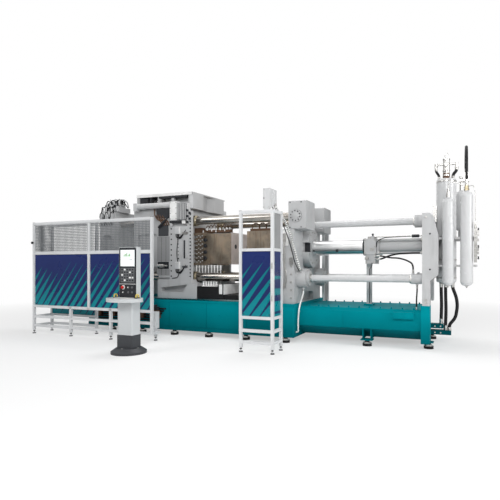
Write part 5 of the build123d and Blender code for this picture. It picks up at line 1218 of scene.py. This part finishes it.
class DIECAST_OT_guards(bpy.types.Operator):
    """Window frames, screws, feet, post caps and a knob of the guards"""
    bl_idname = "diecast.guards"
    bl_label = "Guard fittings"

    def execute(self, context):
        y = GUARD_Y
        frames, screws = [], []
        for x0, x1 in ((-5.450, -3.895), (-3.845, -2.290)):
            for z0, z1, thick in ((0.630, 1.750, 0.006), (1.800, 2.405, 0.014)):
                frames += [(x0, x1, y - 0.006, y, z0, z0 + thick), (x0, x1, y - 0.006, y, z1 - thick, z1),
                           (x0, x0 + thick, y - 0.006, y, z0, z1), (x1 - thick, x1, y - 0.006, y, z0, z1)]
            middle = (x0 + x1) / 2
            screws += [place for place in face_places((x0 + 0.035, middle, x1 - 0.035), y, PANEL_ROWS)
                       if place[0] != at(middle, y, PANEL_ROWS[1])]
        screws += [(at(x, TOWER_Y, z), FRONT) for z in PANEL_ROWS for x in (-0.198, 0.280)]
        boxes("window_frames", frames, "guard_grey_paint", bevel=0.0)
        bolts("panel_screws", screws, 0.007, 0.005, finish="dark_plastic")
        feet = ((-5.475, -2.039), (-4.380, -2.039), (-3.290, -2.039), (-5.475, -1.575), (-4.125, -1.575),
                (-2.360, -1.800), (-0.258, -2.175), (0.340, -2.175), (0.340, -1.789))
        bolts("guard_foot_nuts", [(at(x, foot_y, FOOT_NUT_Z), UP) for x, foot_y in feet],
              0.019, 0.012, finish="black_paint")
        spun("guard_foot_pads", [((x, foot_y, 0.0005), UP, cap(0.0355, 0.012, 0.0185, 0.030))
                                 for x, foot_y in feet], "black_paint")
        caps = [(x - 0.027, x + 0.027, py - 0.027, py + 0.027, 2.4545, 2.4600)
                for x, py in ((-5.475, -2.039), (-5.475, -1.575), (-2.265, -2.039), (-4.125, -1.575),
                              (-0.258, -2.175), (0.340, -1.789))]
        boxes("post_caps", caps, "dark_plastic", bevel=0.001)
        knob = [(0, 0.014), (0.016, 0.014), (0.018, 0.028), (0.040, 0.028), (0.046, 0.020)]
        spun("post_knob", [((-5.475, -2.064, 2.010), FRONT, knob)], "dark_plastic", sides=18)
        boxes("brackets", [(x - 0.030, x + 0.030, -2.070, -2.063, 0.587, 0.587 + 0.036)
                           for x in (-4.380, -3.290, MULLION_X)]
              + [(0.330, 0.350, -2.206, -2.199, z, z + 0.10) for z in (0.90, 1.45)],
              "bare_steel", bevel=0.001)
        bolts("cover_bolts", [(at(-2.360, -1.850, z), FRONT) for z in (0.29, 0.54)], 0.008, 0.006)
        return {"FINISHED"}


# Middle of the console (x) and the face of its head (y)
CONSOLE = (-1.998, -3.030)

# Row and column of the bright keys
LIT_KEYS = ((0, 1), (1, 3), (2, 0), (3, 3), (3, 4), (4, 1))


class DIECAST_OT_console(bpy.types.Operator):
    """Screen, buttons, switches and handles of the operator's console"""
    bl_idname = "diecast.console"
    bl_label = "Console"

    def execute(self, context):
        x, face = CONSOLE
        rows = [(-0.140, 0.080 - 0.03 * (i % 3), -0.0115, -0.0095, 1.735 - 0.034 * i, 1.744 - 0.034 * i)
                for i in range(7)]
        chart = [(-0.085 + 0.022 * i, -0.071 + 0.022 * i, -0.0112, -0.0095, 1.660, 1.680 + 0.014 * (i % 4))
                 for i in range(7)]
        plates([
            ("console_bezel", "dark_plastic", 0.004, (-0.182, 0.182, -0.006, 0, 0.955, 1.812)),
            ("console_screen", "screen_glass", 0.001, (-0.150, 0.150, -0.010, -0.005, 1.478, 1.772)),
            ("screen_rows", "conduit_plastic", 0.0, *rows),
            ("screen_bars", "dark_plastic", 0.0, (-0.060, 0.110, -0.0112, -0.0095, 1.598, 1.606),
             (-0.150, 0.150, -0.0112, -0.0095, 1.478, 1.492)),
            ("screen_chart", "key_green", 0.0, *chart),
            ("key_ground", "key_grey", 0.002, (-0.150, 0.150, -0.0085, -0.004, 1.215, 1.462)),
            ("key_line", "white_plastic", 0.0, (-0.176, 0.176, -0.0075, -0.005, 1.184, 1.191)),
        ], x=x, y=face)
        keys, soft = [], []
        for row in range(5):
            for column in range(5):
                kx = -0.132 + 0.056 * column
                kz = 1.422 - 0.046 * row
                key = (kx, kx + 0.036, -0.012, -0.005, kz, kz + 0.026)
                (keys if (row, column) in LIT_KEYS else soft).append(key)
        plates([
            ("console_keys", "white_plastic", 0.002, *keys),
            ("console_soft_keys", "dark_plastic", 0.002, *soft),
        ], x=x, y=face)
        low, high = 1.045, 1.130
        places = ((0.02, high), (0.10, high), (-0.09, low), (0.02, low), (0.10, low))
        button = [(0, 0.019), (0.006, 0.019), (0.008, 0.014), (0.014, 0.013)]
        spun("console_buttons", [((x + dx, face - 0.006, z), FRONT, button) for dx, z in places],
             "key_grey", sides=18)
        spun("button_caps", [((x + dx, face - 0.020, z), FRONT, disc(0.010, 0.004))
                             for dx, z in (places[0], places[2])], "conduit_plastic", sides=14)
        spun("stop_collar", [((x - 0.090, face - 0.006, high), FRONT, cap(0.037, 0.005, 0.007, 0.033))],
             "white_plastic")
        stop = [(0, 0.014), (0.012, 0.014), (0.013, 0.026), (0.026, 0.026), (0.032, 0.018)]
        spun("stop_button", [((x - 0.090, face - 0.013, high), FRONT, stop)], "red_plastic")
        near, far = -3.030, -3.100
        grip = ((near, 0.955), (near, 0.995), (-3.045, 1.010), (-3.085, 1.010), (far, 0.995), (far, 0.955))
        handles = [x + side * 0.232 for side in SIDES]
        pipes("tray_handles", [[(hx, y, z) for y, z in grip] for hx in handles], 0.012, "yellow_plastic")
        spun("handle_seats", [((hx, y, 0.9505), UP, cap(0.024, 0.010, 0.014, 0.018))
                              for hx in handles for y in (near, far)], "dark_plastic", sides=16)
        boxes("tray_mat", [(x - 0.180, x + 0.180, -3.240, -3.060, 0.9505, 0.956)],
              "conduit_plastic", bevel=0.002)
        bolts("head_screws", face_places((x - 0.182, x + 0.182), face, (0.99, 1.40, 1.806)), 0.005, 0.004)
        boxes("column_door", [(x - 0.135, x + 0.135, -3.114, -3.109, 0.36, 0.85)],
              "console_grey_paint", bevel=0.002)
        bolts("plinth_bolts", [(at(x + dx, -3.0 + dy, 0.0952), UP) for dx, dy in
                               ((-0.19, 0.0), (0.19, 0.0), (0.0, -0.17), (0.0, 0.17))], 0.013, 0.008)
        return {"FINISHED"}


def gradient_world():
    """Soft studio light: a plain level all round, a pale background for camera and gloss."""
    world = bpy.data.worlds.new("studio")
    bpy.context.scene.world = world
    world.use_nodes = True
    world.node_tree.nodes.clear()
    g = Graph(world.node_tree)
    height = g.part(g.node("ShaderNodeTexCoord").outputs["Generated"], "Z")
    sky = g.ramp(g.span(height, 0.0, 1.0, -1.0, 1.0), *((place, (level,) * 3) for place, level in SKY))
    soft, gloss, seen = (
        g.node("ShaderNodeBackground", {"Color": colour, "Strength": strength}).outputs["Background"]
        for colour, strength in ((WHITE, AMBIENT), (sky, 1.0), (WHITE, 1.0)))
    ray = g.node("ShaderNodeLightPath").outputs
    light = g.blend(ray["Is Camera Ray"], g.blend(ray["Is Glossy Ray"], soft, gloss), seen)
    g.node("ShaderNodeOutputWorld", {"Surface": light})


def floor_material():
    """A matt floor that fades into the pale background away from the machine."""
    s = Shade("studio_floor", FLOOR_GREY, 0.9, gloss=0.5)
    glow = s.node("ShaderNodeEmission", {"Color": WHITE}).outputs["Emission"]
    far = s.node("ShaderNodeVectorMath", {0: s.place}, operation="LENGTH").outputs["Value"]
    seen = s.node("ShaderNodeLightPath").outputs["Is Camera Ray"]
    share = s.math("MULTIPLY", seen, s.span(far, 0.45, 1.0, FADE_NEAR, FADE_FAR))
    s.tree.links.new(s.blend(share, s.shader.outputs["BSDF"], glow),
                     s.tree.nodes["Material Output"].inputs["Surface"])
    return s.material


class DIECAST_OT_stage(bpy.types.Operator):
    """Pale floor, soft lamps and the camera of the photograph"""
    bl_idname = "diecast.stage"
    bl_label = "Stage"

    def execute(self, context):
        scene = context.scene
        scene.view_settings.view_transform = "Standard"
        mesh = bpy.data.meshes.new("studio_floor")
        half = FLOOR_SIZE / 2
        mesh.from_pydata([(-half, -half, 0), (half, -half, 0), (half, half, 0), (-half, half, 0)],
                         [], [(0, 1, 2, 3)])
        floor = bpy.data.objects.new("studio_floor", mesh)
        scene.collection.objects.link(floor)
        mesh.materials.append(floor_material())
        gradient_world()
        for name, place, target, size, power in LAMPS:
            data = bpy.data.lights.new(name, "AREA")
            data.shape = "DISK"
            data.size = size
            data.energy = power
            lamp = bpy.data.objects.new(name, data)
            lamp.location = place
            lamp.rotation_euler = (Vector(target) - Vector(place)).to_track_quat("-Z", "Y").to_euler()
            scene.collection.objects.link(lamp)
        data = bpy.data.cameras.new("camera")
        data.lens = LENS_MM
        data.sensor_width = SENSOR_MM
        data.shift_x = SHIFT_X
        data.shift_y = SHIFT_Y
        data.clip_end = 200.0
        camera = bpy.data.objects.new("camera", data)
        camera.location = CAMERA_PLACE
        camera.rotation_euler = Euler((math.pi / 2, 0, CAMERA_ACROSS))
        scene.collection.objects.link(camera)
        scene.camera = camera
        return {"FINISHED"}


STEPS = (DIECAST_OT_finishes, DIECAST_OT_screens, DIECAST_OT_fixed_side, DIECAST_OT_bases,
         DIECAST_OT_moving_side, DIECAST_OT_die_fittings, DIECAST_OT_clamp_end, DIECAST_OT_shot_unit,
         DIECAST_OT_accumulators, DIECAST_OT_conduit, DIECAST_OT_guards, DIECAST_OT_console,
         DIECAST_OT_stage)


class DIECAST_PT_panel(bpy.types.Panel):
    """Lists the sizes, the colours and the steps"""
    bl_idname = "DIECAST_PT_panel"
    bl_label = "Die casting machine"
    bl_space_type = "VIEW_3D"
    bl_region_type = "UI"
    bl_category = "Die casting"

    def draw(self, context):
        layout = self.layout
        for group in (context.scene.plant_sizes, context.scene.plant_colours):
            for name in group.bl_rna.properties.keys():
                if name not in ("rna_type", "name"):
                    layout.prop(group, name)
        for step in STEPS:
            layout.operator(step.bl_idname)


CLASSES = (PlantSizes, PlantColours, *STEPS, DIECAST_PT_panel)


def register():
    for cls in CLASSES:
        bpy.utils.register_class(cls)
    bpy.types.Scene.plant_sizes = bpy.props.PointerProperty(type=PlantSizes)
    bpy.types.Scene.plant_colours = bpy.props.PointerProperty(type=PlantColours)


def unregister():
    del bpy.types.Scene.plant_sizes
    del bpy.types.Scene.plant_colours
    for cls in reversed(CLASSES):
        bpy.utils.unregister_class(cls)


def main():
    register()
    for step in STEPS:
        family, name = step.bl_idname.split(".")
        getattr(getattr(bpy.ops, family), name)()


if __name__ == "__main__":
    main()
